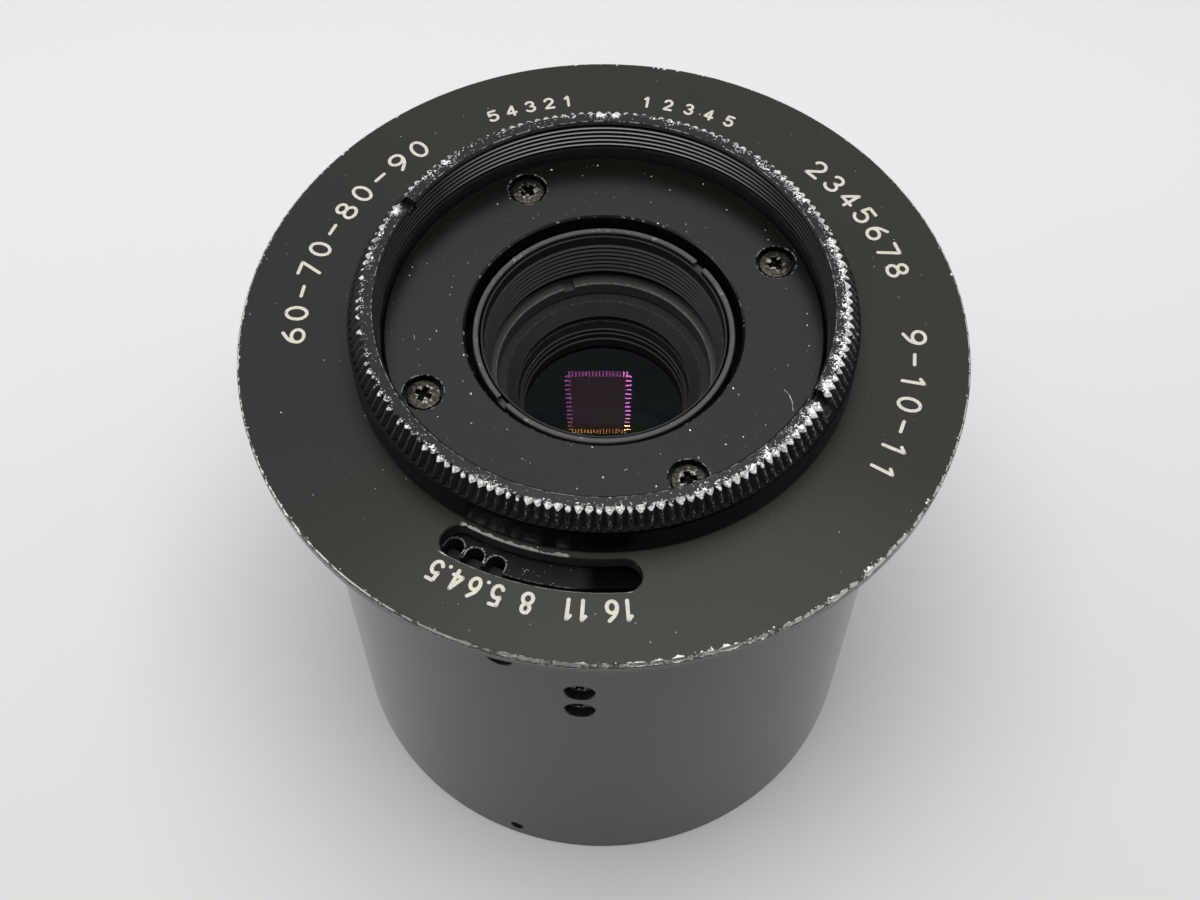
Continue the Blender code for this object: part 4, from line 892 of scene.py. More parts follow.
# %% The turned flange
def make_flange():
    rebate = FLANGE_LOW + REBATE_DEEP
    foot = FLANGE_LOW - SPIGOT_LONG
    profile = [(FLANGE_BORE, FLANGE_TOP), (FLANGE_R - EDGE, FLANGE_TOP), (FLANGE_R, FLANGE_TOP - EDGE)]
    profile += [(FLANGE_R, FLANGE_LOW + EDGE), (FLANGE_R - EDGE, FLANGE_LOW), (REBATE_R, FLANGE_LOW)]
    profile += [(REBATE_R, rebate), (SPIGOT_R, rebate), (SPIGOT_R, foot), (SPIGOT_BORE, foot)]
    profile += [(SPIGOT_BORE, FLANGE_LOW), (FLANGE_BORE, FLANGE_LOW)]
    flange = piece("flange", turned(profile))
    slot = bmesh.new()
    prism(slot, slot_outline(SLOT_HALF), foot_of("aperture_ring"), FLANGE_TOP + 0.3)
    milled(flange, slot, None)
    chamfer = bmesh.new()
    prism(chamfer, slot_outline(SLOT_HALF - 0.02), FLANGE_TOP - 0.14, FLANGE_TOP + 0.1, 0.26, 0.24)
    milled(flange, chamfer, None)
    shanks = bmesh.new()
    for degrees in every_third(SCREW_DEG):
        inner = polar(SPIGOT_BORE - 0.7, degrees, SCREW_HEIGHT)
        outer = polar(SPIGOT_R + 0.6, degrees, SCREW_HEIGHT)
        cone(shanks, inner, outer, SHANK_HOLE_R, SHANK_HOLE_R)
    return milled(flange, shanks, flange_finish())


flange = fit(make_flange(), "housing", "flange_black", "front_flange")

# %% [markdown]
# ## The figures
# A pantograph engraves the figures: a round cutter follows a centre line, and the groove is filled with
# cream paint. The same can be done here. Each figure is a few strokes, each stroke is a curve, and a tree
# gives the curves a round section and round ends, then presses them flat on the flange.

# %% Strokes of the figures
ARC_POINTS = 14


def stroke(*items):
    """A centre line of points and elliptic arcs (x, y, half width, half height, from, to) in a unit box."""
    line = []
    for item in items:
        if len(item) == 2:
            line.append(item)
        else:
            x, y, wide, high, first, last = item
            turns = [math.radians(first + (last - first) * i / ARC_POINTS) for i in range(ARC_POINTS + 1)]
            line += [(x + wide * math.cos(t), y + high * math.sin(t)) for t in turns]
    return line


SIX = [stroke((0.24, 1.0), (0.38, 0.31, 0.86, 0.62, 128, 180), (0, 0.30, 0.48, 0.30, 180, 540))]
FIGURES = {
    "0": [stroke((0, 0.5, 0.46, 0.5, 90, 450))],
    "1": [stroke((-0.30, 0.80), (0.02, 1.0)), stroke((0.02, 1.0), (0.02, 0.0))],
    "2": [stroke((0, 0.71, 0.44, 0.29, 165, -38), (-0.46, 0.0)), stroke((-0.46, 0.0), (0.48, 0.0))],
    "3": [stroke((0, 0.76, 0.40, 0.24, 155, -90)), stroke((0, 0.26, 0.48, 0.26, 90, -155))],
    "4": [stroke((0.20, 0.0), (0.20, 1.0)), stroke((0.20, 1.0), (-0.50, 0.27)),
          stroke((-0.50, 0.27), (0.50, 0.27))],
    "5": [stroke((0.40, 1.0), (-0.34, 1.0)), stroke((-0.34, 1.0), (-0.40, 0.55)),
          stroke((-0.40, 0.55), (-0.02, 0.32, 0.50, 0.32, 118, -150))],
    "6": SIX,
    "7": [stroke((-0.46, 1.0), (0.46, 1.0)), stroke((0.46, 1.0), (-0.10, 0.0))],
    "8": [stroke((0, 0.77, 0.38, 0.23, -90, 270)), stroke((0, 0.27, 0.48, 0.27, 90, 450))],
    "9": [[(-x, 1 - y) for x, y in line] for line in SIX],
    ".": [stroke((0.0, 0.0), (0.02, 0.0))],
    "-": [stroke((-0.40, 0.48), (0.40, 0.48))],
}
print(len(FIGURES), "figures drawn")

# %% Figures along an arc
Lettering = namedtuple("Lettering", "text first pitch radius wide high")
SCALE = [
    Lettering("4.5", -117.9, 2.05, 38.3, 1.15, 2.45),
    Lettering("5.6", -110.5, 2.05, 38.3, 1.15, 2.45),
    Lettering("8", -103.1, 2.6, 38.3, 1.2, 2.45),
    Lettering("11", -94.9, 2.5, 38.3, 1.2, 2.45),
    Lettering("16", -87.4, 2.7, 38.3, 1.2, 2.45),
]
ZOOM_DIAL = [
    Lettering("60-70-80-90", 155.5, 5.15, 38.2, 1.95, 2.6),
    Lettering("2345678", 28.5, 4.75, 38.2, 1.8, 2.6),
    Lettering("9-10-11", -16.5, 5.0, 38.2, 1.9, 2.7),
]
FINE_DIAL = [
    Lettering("54321", 105.0, 3.9, 38.2, 1.2, 1.65),
    Lettering("12345", 72.5, 4.3, 38.2, 1.05, 1.65),
]


def lines_of(lettering):
    """The strokes of a text in millimetres, its tops outward and reading clockwise about its middle."""
    found = []
    middle = (len(lettering.text) - 1) / 2
    for i, figure in enumerate(lettering.text):
        degrees = lettering.first - (i - middle) * lettering.pitch
        out = polar(1.0, degrees) / MM
        along = Vector((out.y, -out.x, 0.0))
        low = out * (lettering.radius - lettering.high / 2)
        for line in FIGURES[figure]:
            found.append([low + along * x * lettering.wide + out * y * lettering.high for x, y in line])
    return found


def curve_of(name, lines):
    """One curve object's data with a spline for each line."""
    curve = bpy.data.curves.new(name, "CURVE")
    curve.dimensions = "3D"
    for line in lines:
        spline = curve.splines.new("POLY")
        spline.points.add(len(line) - 1)
        for point, place in zip(spline.points, line):
            point.co = (*(Vector(place) * MM), 1.0)
    return curve


# %% The engraving tree
def engraving_tree():
    """Gives each stroke a round section and round ends, presses it flat and lifts it to the surface."""
    inputs = {"Cutter radius": "size", "Flatness": "size", "Surface height": "size", "Fill": "finish"}
    tree, recipe, source = new_tree("engraving", inputs)
    radius = source.output("Cutter radius")
    round_section = recipe.node(
        "GeometryNodeCurvePrimitiveCircle", {}, {"Resolution": 8, "Radius": radius}
    )
    strokes = recipe.node(
        "GeometryNodeCurveToMesh", {}, {"Curve": source, "Profile Curve": round_section, "Fill Caps": True}
    )
    ball = recipe.node("GeometryNodeMeshUVSphere", {}, {"Segments": 12, "Rings": 6, "Radius": radius})
    ends = recipe.node("GeometryNodeCurveEndpointSelection")
    both = joined(recipe, strokes, copies_at(recipe, source, ball, Selection=ends))
    press = recipe.node("ShaderNodeCombineXYZ", {}, {"X": 1.0, "Y": 1.0, "Z": source.output("Flatness")})
    lift = recipe.node("ShaderNodeCombineXYZ", {}, {"Z": source.output("Surface height")})
    real = recipe.node("GeometryNodeRealizeInstances", {}, {0: both})
    change = {"Geometry": real, "Scale": press, "Translation": lift}
    close_tree(recipe, recipe.node("GeometryNodeTransform", {}, change), source.output("Fill"))
    return tree


def cream_fill():
    material, recipe = new_recipe("cream_fill")
    spot = spot_of(recipe)
    tone = noise(recipe, spot.point, 1.1, 3.0)
    grime_and_painted_shadow = noise(recipe, spot.point, 3.2, 3.0).rise(0.56, 0.70)
    colour = mixed(recipe, tone, (0.42, 0.40, 0.34), (0.60, 0.58, 0.505))
    colour = mixed(recipe, grime_and_painted_shadow * 0.45, colour, (0.30, 0.28, 0.24))
    lay(recipe, colour, 0.62, 0.0, tone, 0.01, 0.3)
    return material


engraving = engraving_tree()
fill = cream_fill()
for name, letterings, cutter in (
    ("aperture_figures", SCALE, 0.225),
    ("zoom_figures", ZOOM_DIAL, 0.215),
    ("fine_figures", FINE_DIAL, 0.175),
):
    lines = [line for lettering in letterings for line in lines_of(lettering)]
    sizes = {
        "Cutter radius": cutter * MM,
        "Flatness": 0.08,
        "Surface height": FLANGE_TOP * MM,
        "Fill": fill,
    }
    figures = grown(name, engraving, curve_of(name, lines), sizes, fill)
    fit(figures, "housing", "flange_black")

# %% [markdown]
# ## The face plate
# A flat black plate closes the lens between the knurled ring and the lens tube. Four cross-head screws sit
# in counterbores. Its black is deeper than the flange's, and dust gathers on it.

# %% Face plate
PLATE_R = radius_of("face_plate")
PLATE_HOLE_R = 17.12
PLATE_SCREW_R = 23.8
PLATE_SCREW_DEG = 24.4
COUNTERBORE_R = 2.5
COUNTERBORE_FLOOR = PLATE_TOP - 1.3
PLATE_SHANK_R = 1.45
COUNTERBORE_CHAMFER = 0.06  # as wide as it is deep
PLATE_SCREW_DEGS = [PLATE_SCREW_DEG + 90 * i for i in range(4)]


def plate_finish():
    material, recipe = new_recipe("dull_black_plate")
    spot = spot_of(recipe)
    cloud = noise(recipe, spot.point, 0.11)
    grain = noise(recipe, spot.point, 6.0, 3.0)
    coat = mixed(recipe, cloud * 0.5 + grain * 0.5, (0.0022, 0.0020, 0.0015), (0.0062, 0.0057, 0.0044))
    inner = edge_gap(spot, PLATE_HOLE_R + 0.1, PLATE_TOP - 0.1)
    flakes = noise(recipe, spot.point, 1.5, 3.0)
    worn = (flakes - inner * 0.9).rise(0.54, 0.62) * 0.35
    centres = [place_gap(spot, PLATE_SCREW_R, degrees) for degrees in PLATE_SCREW_DEGS]
    bores = nearest([abs(gap - COUNTERBORE_R - 0.05) for gap in centres])
    at_top = spot.height.rise(PLATE_TOP - 0.25, PLATE_TOP - 0.08)
    rims = bores.fall(0.03, 0.10) * at_top * flakes.rise(0.48, 0.60) * 0.35
    lay(recipe, coat, 0.22 + grain * 0.06, worn.at_least(rims), grain, 0.012, 0.41)
    return material


# %% The drilled plate
def make_plate():
    edge = 0.25
    low = foot_of("face_plate")
    profile = [(PLATE_R, PLATE_TOP - edge), (PLATE_R, low), (PLATE_HOLE_R, low)]
    profile += [(PLATE_HOLE_R, PLATE_TOP - edge), (PLATE_HOLE_R + edge, PLATE_TOP)]
    profile += [(PLATE_R - edge, PLATE_TOP)]
    plate = piece("plate", turned(profile))
    chamfer = COUNTERBORE_CHAMFER
    mouth_r = COUNTERBORE_R + 2 * chamfer
    drills = (
        (low - 0.3, COUNTERBORE_FLOOR + 0.2, PLATE_SHANK_R, PLATE_SHANK_R, None),
        (COUNTERBORE_FLOOR, PLATE_TOP + 0.3, COUNTERBORE_R, COUNTERBORE_R, None),
        (PLATE_TOP - chamfer, PLATE_TOP + chamfer, COUNTERBORE_R, mouth_r, plate_finish()),
    )
    for start, end, start_r, end_r, material in drills:
        holes = bmesh.new()
        for degrees in PLATE_SCREW_DEGS:
            middle = [polar(PLATE_SCREW_R, degrees, height) for height in (start, end)]
            cone(holes, *middle, start_r, end_r)
        milled(plate, holes, material)
    return plate


plate = fit(make_plate(), "housing", "flange_black", "face_plate")

# %% [markdown]
# ## The screws
# All are small steel screws with a cross recess, blackened once and worn brown-grey since. One screw is
# turned and its cross milled with arms that taper downwards. A tree then sets a copy at each seat, along
# the seat's own axis and turned by its own amount, because no fitter leaves two crosses in line.

# %% One screw of each size
CROSS_TAPER = 0.55


def cross_cutter(arm, width, head_top, depth):
    """A cross recess whose arms grow shorter towards its floor."""
    mesh = bmesh.new()
    half = width / 2
    for reach, across in ((arm, half), (half, arm)):
        high = [(-reach, -across), (reach, -across), (reach, across), (-reach, across)]
        x_taper, y_taper = (CROSS_TAPER, 1.0) if reach == arm else (1.0, CROSS_TAPER)
        low = [(x * x_taper, y * y_taper) for x, y in high]
        rows = []
        for corners, height in ((low, head_top - depth), (high, head_top + 0.3)):
            rows.append([mesh.verts.new((x * MM, y * MM, height * MM)) for x, y in corners])
        mesh.faces.new(rows[0][::-1])
        mesh.faces.new(rows[1])
        for i in range(4):
            j = (i + 1) % 4
            mesh.faces.new((rows[0][i], rows[0][j], rows[1][j], rows[1][i]))
    return mesh


def screw_shape(name, head_r, head_height, shank_r, length, arm, width, depth, dome):
    """A cross-head screw with its seat at height 0 and its shank below."""
    edge = 0.22
    shoulder = head_height - dome
    profile = [(0.0, head_height), (head_r * 0.55, head_height - dome * 0.3)]
    profile += [(head_r - edge, shoulder), (head_r - edge * 0.3, shoulder - edge * 0.35)]
    profile += [(head_r, shoulder - edge), (head_r, 0.0), (shank_r, 0.0)]
    profile += [(shank_r, -length), (0.0, -length)]
    screw = piece(name, turned(profile, 40))
    milled(screw, cross_cutter(arm, width, head_height, depth), None)
    screw.data.attributes.new("hollow", "FLOAT", "POINT")
    screw.data.attributes.new("handled", "FLOAT", "POINT")
    for i, vertex in enumerate(screw.data.vertices):
        out, up = vertex.co.xy.length / MM, vertex.co.z / MM
        in_recess = out < arm and 0 < up < head_height - depth * 0.8
        screw.data.attributes["hollow"].data[i].value = float(in_recess)
        screw.data.attributes["handled"].data[i].value = float(out < arm * 1.05 and up > shoulder)
    return screw


plate_screw = screw_shape("plate_screw_shape", 2.1, 0.75, 1.3, 4.2, 1.3, 0.76, 0.55, 0.12)
wall_screw = screw_shape("wall_screw_shape", 1.75, 1.2, 1.0, 1.6, 1.15, 0.62, 0.8, 0.10)
long_screw = screw_shape("long_screw_shape", 1.75, 1.2, 1.0, 3.4, 1.15, 0.62, 0.8, 0.10)

# %% Screw finish
def screw_finish():
    material, recipe = new_recipe("worn_screw_steel")
    spot = spot_of(recipe)
    hollow = recipe.node("ShaderNodeAttribute", {"attribute_name": "hollow"}, {}, "Fac")
    tone = noise(recipe, spot.point, 0.7, 2.0)
    flakes = noise(recipe, spot.point, 2.4, 4.0)
    rub = (flakes + tone * 0.3).rise(0.80, 0.87)
    handled = recipe.node("ShaderNodeAttribute", {"attribute_name": "handled"}, {}, "Fac")
    lips = (handled * 0.26 + flakes).rise(0.79, 0.86) * hollow.fall(0.02, 0.20)
    pits = noise(recipe, spot.point, 8.0)
    mottle = tone * 0.4 + flakes.rise(0.40, 0.62) * 0.6
    steel = mixed(recipe, mottle, (0.024, 0.021, 0.018), (0.150, 0.134, 0.108))
    steel = mixed(recipe, hollow.rise(0.12, 0.35), steel, (0.004, 0.004, 0.004))
    colour = mixed(recipe, rub.at_least(lips), steel, (0.50, 0.47, 0.42))
    bump = recipe.node("ShaderNodeBump", {}, {"Height": pits * 0.4 + rub * 0.5, "Distance": 0.015 * MM})
    shader = recipe.node(
        "ShaderNodeBsdfPrincipled",
        {},
        {"Base Color": colour, "Metallic": 0.95, "Roughness": 0.34 + tone * 0.15, "Normal": bump},
    )
    recipe.node("ShaderNodeOutputMaterial", {}, {"Surface": shader})
    return material


# %% The seat tree
def seat_tree():
    """Sets a screw at each point, along the point's axis and turned by its turn."""
    tree, recipe, source = new_tree("screws_at_seats", {"Screw": "shape", "Steel": "finish"})
    screw = shape_of(recipe, source, "Screw")
    axis = recipe.node("GeometryNodeInputNamedAttribute", {"data_type": "FLOAT_VECTOR"}, {"Name": "axis"})
    turn = recipe.node("GeometryNodeInputNamedAttribute", {"data_type": "FLOAT"}, {"Name": "turn"})
    aim = recipe.node("FunctionNodeAlignRotationToVector", {"axis": "Z"}, {"Vector": axis})
    spin = recipe.node("FunctionNodeAxisAngleToRotation", {}, {"Axis": (0.0, 0.0, 1.0), "Angle": turn})
    turned_aim = recipe.node(
        "FunctionNodeRotateRotation", {"rotation_space": "LOCAL"}, {"Rotation": aim, "Rotate By": spin}
    )
    copies = copies_at(recipe, source, screw, Rotation=turned_aim)
    close_tree(recipe, copies, source.output("Steel"))
    return tree


def seats(name, places):
    """A mesh of points in metres, each with its screw's axis and turn in degrees."""
    mesh = bpy.data.meshes.new(name)
    mesh.from_pydata([place for place, _, _ in places], [], [])
    mesh.attributes.new("axis", "FLOAT_VECTOR", "POINT")
    mesh.attributes.new("turn", "FLOAT", "POINT")
    for i, (_, direction, degrees) in enumerate(places):
        mesh.attributes["axis"].data[i].vector = direction
        mesh.attributes["turn"].data[i].value = math.radians(degrees)
    return mesh


UP = Vector((0.0, 0.0, 1.0))
HEAD_SEAT_R = BARREL_R - 2.0
steel = screw_finish()
seat = seat_tree()
plate_seats = [
    (polar(PLATE_SCREW_R, degrees, PLATE_TOP - 1.0), UP, turn)
    for degrees, turn in zip(PLATE_SCREW_DEGS, (24.0, 133.0, 66.0, 12.0))
]
wall_seats = [
    (polar(HEAD_SEAT_R, degrees, SCREW_HEIGHT), polar(1, degrees) / MM, 15 + degrees)
    for degrees in every_third(SCREW_DEG)
]
stop_seats = [
    (polar(HEAD_SEAT_R, STOP_DEG, height), polar(1, STOP_DEG) / MM, turn)
    for height, turn in zip(STOP_SCREW_HEIGHTS, (38.0, 12.0))
]
for name, shape, places, nodes in (
    ("plate_screws", plate_screw, plate_seats, [f"face_screw_{i + 1}" for i in range(4)]),
    ("flange_screws", wall_screw, wall_seats, [f"barrel_screw_{i + 1}" for i in range(3)]),
    ("stop_screws", long_screw, stop_seats, ["stop_screw_upper", "stop_screw_lower"]),
):
    screws = grown(name, seat, seats(name, places), {"Screw": shape, "Steel": steel}, steel)
    fit(screws, "housing", "screw_steel", *nodes)

# %% Set screws
def set_screw_shape():
    """A headless screw with a slot across its end."""
    profile = [(0.0, 3.0), (0.62, 3.0), (0.8, 2.82), (0.8, 0.0), (0.0, 0.0)]
    screw = piece("set_screw_shape", turned(profile, 24))
    slot = bmesh.new()
    block(slot, 0.0, -1.0, 1.0, 0.3, 2.45, 3.3)
    return milled(screw, slot, None)


set_screw = set_screw_shape()
set_seats = [
    (polar(BARREL_R - 3.5, degrees, SET_SCREW_HEIGHT), polar(1, degrees) / MM, 30.0)
    for degrees in every_third(SET_SCREW_DEG)
]
set_sizes = {"Screw": set_screw, "Steel": steel}
set_screws = grown("set_screws", seat, seats("set_screws", set_seats), set_sizes, steel)
fit(set_screws, "housing", "screw_steel", "set_screw_1", "set_screw_2", "set_screw_3")
for shape in (plate_screw, wall_screw, long_screw, set_screw):
    bpy.data.objects.remove(shape, do_unlink=True)

# %% [markdown]
# ## The knurled zoom ring
# The hand turns this ring, so it is knurled: straight teeth run up a short cone to its top edge. It is
# painted gloss black and its teeth are worn to silver at their tips. The ring itself is turned; one tooth
# is shaped and a tree sets the rest round the ring, leaving out those where the two spanner notches are.
# Each tooth is given its own random amount of wear, which the finish reads.

# %% Measures of the ring
RING_BASE_R = radius_of("zoom_ring")
RING_LOW = foot_of("zoom_ring")
KNURL_LOW = RING_TOP - 2.5
THREAD_R = 27.5
RING_BORE = 29.3
RING_SHOULDER = RING_TOP - 4.4
TEETH = 160
LOBE_R = 29.28
LOBE_PITCH = 2 * math.pi * LOBE_R / TEETH
TOOTH_DEPTH = 0.55
TOOTH_FOOT_R, TOOTH_HEAD_R = 30.9, 29.62
NOTCH_DEG = 149.8
NOTCH_WIDTH = 1.65
NOTCH_DEPTH = 1.5
VALLEY_SLOPE = (TOOTH_FOOT_R - TOOTH_HEAD_R) / (RING_TOP - 0.2 - KNURL_LOW)
# where the teeth and the top face are worn most: angle, half width, share
WORN_TEETH = ((0, 70, 0.36), (-84, 62, 0.26), (84, 44, 0.22), (152, 52, 0.15))
SCRATCHED_FACE = ((0, 70, 0.33), (72, 34, 0.14), (150, 48, 0.20), (-84, 62, 0.14))
KNOCKS = (90.5, 87.0, NOTCH_DEG + 3.5, NOTCH_DEG - 176.5, NOTCH_DEG + 176.0)


def valley_radius(height):
    """The radius of the bottom of the grooves between the teeth; height may be a number or a signal."""
    return (height - KNURL_LOW) * -VALLEY_SLOPE + (TOOTH_FOOT_R - TOOTH_DEPTH)


# %% Finish of the thread
def shaded_thread_and_glints(recipe, spot):
    """Where the thread in the ring's mouth is, painted black as shade, and its crests, which carry painted
    highlights brightest towards the back.
    """
    normal = recipe.node("ShaderNodeNewGeometry", output="Normal")
    upward = recipe.node("ShaderNodeSeparateXYZ", {}, {0: normal}, "Z")
    bore = spot.radius.fall(THREAD_R + 0.52, THREAD_R + 0.60)
    painted_thread_shade = bore * spot.height.fall(RING_TOP - 0.34, RING_TOP - 0.30)
    under = spot.radius.fall(RING_BORE + 0.03, RING_BORE + 0.10)
    under = under * spot.height.fall(RING_SHOULDER + 0.02, RING_SHOULDER + 0.06)
    crest_glints = spot.radius.fall(THREAD_R + 0.08, THREAD_R + 0.17) * upward.rise(0.2, 0.6)
    return painted_thread_shade.at_least(under), crest_glints * (0.12 + facing(spot, 88, 54) * 0.88)


# %% Ring finish
def ring_finish():
    material, recipe = new_recipe("gloss_black_ring")
    spot = spot_of(recipe)
    own = recipe.node("ShaderNodeAttribute", {"attribute_name": "worn"}, {}, "Fac")
    cloud = noise(recipe, spot.point, 0.5)
    coat = mixed(recipe, cloud, (0.0034, 0.0042, 0.0038), (0.0085, 0.0102, 0.0092))

    front = facing(spot, -84, 62)
    side = crowded(spot, WORN_TEETH)
    flakes = noise(recipe, spot.point, 1.3, 4.0)
    fine = noise(recipe, spot.point, 4.2, 3.0)
    patches = noise(recipe, spot.point, 0.45, 2.0)
    curls = abs(noise(recipe, spot.point, 1.9, 1.5) - 0.5)

    crest = (spot.radius - valley_radius(spot.height)) / TOOTH_DEPTH
    lift = spot.height.rise(RING_TOP - 0.62, RING_TOP - 0.30)
    on_knurl = spot.height.rise(KNURL_LOW + 0.1, KNURL_LOW + 0.4) * crest.rise(0.04, 0.12)
    amount = (own - 0.5) * 0.34 + side
    tips = (crest * 0.24 + lift * 0.52 + amount + (flakes - 0.5) * 0.7).rise(0.77, 0.83)
    streaks = noise(recipe, spot.point, 6.0, 2.0, stretch=(1.0, 1.0, 0.12))
    flank = (crest * 0.42 + side * 0.6 + (streaks - 0.5) * 1.2).rise(0.62, 0.74) * 0.13

    # each tooth ends in a lobe on the top face, and its outline wears bright first
    turn = spot.y.math("ARCTAN2", spot.x) * (TEETH / (2 * math.pi))
    across = (turn.math("FLOORED_MODULO", 1.0) - 0.5) * LOBE_PITCH
    along = spot.radius - LOBE_R
    lobe = (across * across + along * along) ** 0.5 + (fine - 0.5) * 0.20 + (flakes - 0.5) * 0.15
    outline = abs(lobe - 0.38).fall(0.04, 0.11) * (amount + flakes).rise(0.42, 0.52)

    top = spot.height.rise(RING_TOP - 0.12, RING_TOP - 0.04)
    # painted highlight: the top face is made lighter, most of all towards the front, as a sheen
    coat = mixed(recipe, top * (0.25 + front * 0.75), coat, (0.019, 0.021, 0.0195))
    outward = (spot.radius - 28.9) * 0.34
    tips = tips * (1 - top * 0.45)
    crowd = patches + crowded(spot, SCRATCHED_FACE) + outward
    loops = curls.fall(0.010, 0.035) * (crowd + (fine - 0.5) * 0.6).rise(0.56, 0.66)
    scraped = (crowd + (flakes - 0.5) * 1.2 + (fine - 0.5) * 1.1).rise(0.86, 0.92)
    specks = fine.rise(0.67, 0.71) * 0.7
    mouth = edge_gap(spot, THREAD_R + 0.29, RING_TOP - 0.01)
    inner = mouth.fall(0.02, 0.07) * flakes.rise(0.46, 0.56) * 0.35
    foot = edge_gap(spot, RING_BASE_R, RING_LOW).fall(0.04, 0.12) * 0.4

    spots = nearest([place_gap(spot, 28.9, degrees) for degrees in KNOCKS]) + (fine - 0.5) * 2.0
    face = loops.at_least(scraped).at_least(specks).at_least(spots.fall(0.45, 0.70)) * top
    face = face.at_least(outline * spot.height.rise(RING_TOP - 0.20, RING_TOP - 0.10))

    worn = (tips.at_least(flank) * on_knurl).at_least(face).at_least(inner).at_least(foot)
    metal = mixed(recipe, fine.rise(0.42, 0.56), (0.46, 0.46, 0.45), (1.0, 1.0, 0.97))
    # in the thread and below the teeth the ring is bare of its gloss coat and painted a deep black that
    # mirrors nothing, a painted shade; the thread's crests are painted highlights, brightest towards the
    # back
    painted_thread_shade, crest_glints = shaded_thread_and_glints(recipe, spot)
    metal = mixed(recipe, painted_thread_shade, metal, mixed(recipe, crest_glints, (0.012, 0.012, 0.012), (0.28, 0.274, 0.266)))
    below = spot.height.fall(KNURL_LOW + 0.02, KNURL_LOW + 0.16)
    below = below * spot.radius.rise(THREAD_R + 1.0, THREAD_R + 1.4)
    metal = mixed(recipe, below * (1 - foot), metal, (0.010, 0.010, 0.010))
    worn = worn.at_least(painted_thread_shade).at_least(below)
    height = fine * 0.5 - face * 0.6 - tips * 0.4 + flakes * 0.3
    shine = 1 - (1 - painted_thread_shade.at_least(below)) * 0.5
    rough = 0.24 + flakes * 0.12
    lay(recipe, coat, rough, worn, height, 0.06, 0.27, metal=metal, metal_roughness=0.34, shine=shine)
    return material


ring_black = ring_finish()

# %% One tooth
def tooth_shape():
    """A ridge up the cone at angle 0, with a rounded crest and a worn-down head."""
    rows = [
        (KNURL_LOW - 0.12, -0.10, 0.60),
        (KNURL_LOW + 0.14, TOOTH_DEPTH * 0.94, 0.60),
        (KNURL_LOW + 0.5, TOOTH_DEPTH, 0.60),
        (RING_TOP - 0.40, TOOTH_DEPTH, 0.585),
        (RING_TOP - 0.14, TOOTH_DEPTH * 0.84, 0.575),
        (RING_TOP - 0.005, TOOTH_DEPTH * 0.50, 0.56),
    ]
    section = [(-1.0, 0.0), (-0.46, 0.68), (-0.17, 1.0), (0.17, 1.0), (0.46, 0.68), (1.0, 0.0), (0.0, -0.9)]
    mesh = bmesh.new()
    loops = []
    for height, depth, half in rows:
        base = valley_radius(height)
        corners = [Vector((base + out * depth, across * half, height)) * MM for across, out in section]
        loops.append([mesh.verts.new(corner) for corner in corners])
    mesh.faces.new(loops[0])
    mesh.faces.new(loops[-1])
    count = len(section)
    for loop, above in zip(loops, loops[1:]):
        for i in range(count):
            j = (i + 1) % count
            mesh.faces.new((loop[i], loop[j], above[j], above[i]))
    bmesh.ops.recalc_face_normals(mesh, faces=mesh.faces)
    return piece("tooth_shape", mesh)


# %% The knurl tree
def knurl_tree():
    """Sets teeth round the axis, each with its own wear, except within a notch."""
    inputs = {"Teeth": "count", "Notch angle": "size", "Notch half angle": "size"}
    inputs |= {"Seed": "count", "Tooth": "shape", "Coat": "finish"}
    tree, recipe, source = new_tree("knurl", inputs)
    teeth = source.output("Teeth")
    points = recipe.node("GeometryNodePoints", {}, {"Count": teeth})
    index = recipe.node("GeometryNodeInputIndex")
    angle = (index + 0.5) * (2 * math.pi) / teeth
    from_notch = (angle - source.output("Notch angle")).math("SINE", angle - source.output("Notch angle"))
    kept = abs(from_notch) - source.output("Notch half angle")
    keep = recipe.node("FunctionNodeCompare", {"operation": "GREATER_THAN"}, {0: kept, 1: 0.0})
    spin = recipe.node("FunctionNodeAxisAngleToRotation", {}, {"Axis": (0.0, 0.0, 1.0), "Angle": angle})
    tooth = shape_of(recipe, source, "Tooth")
    copies = copies_at(recipe, points, tooth, Selection=keep, Rotation=spin)
    wear = random_share(recipe, source.output("Seed"))
    stored = recipe.node(
        "GeometryNodeStoreNamedAttribute",
        {"data_type": "FLOAT", "domain": "INSTANCE"},
        {"Geometry": copies, "Name": "worn", "Value": wear},
    )
    close_tree(recipe, joined(recipe, stored, source), source.output("Coat"))
    return tree


# %% The turned ring
THREAD_PITCH = 0.75
THREAD_DEPTH = 0.40
THREAD_FLOOR = (0.28, 0.36)  # where a groove's floor starts and ends above the crest below it
THREAD_CREST = 0.62  # where the next crest starts
THREADS = 5
GRUB_R = 0.95
GRUB_DEG = 90


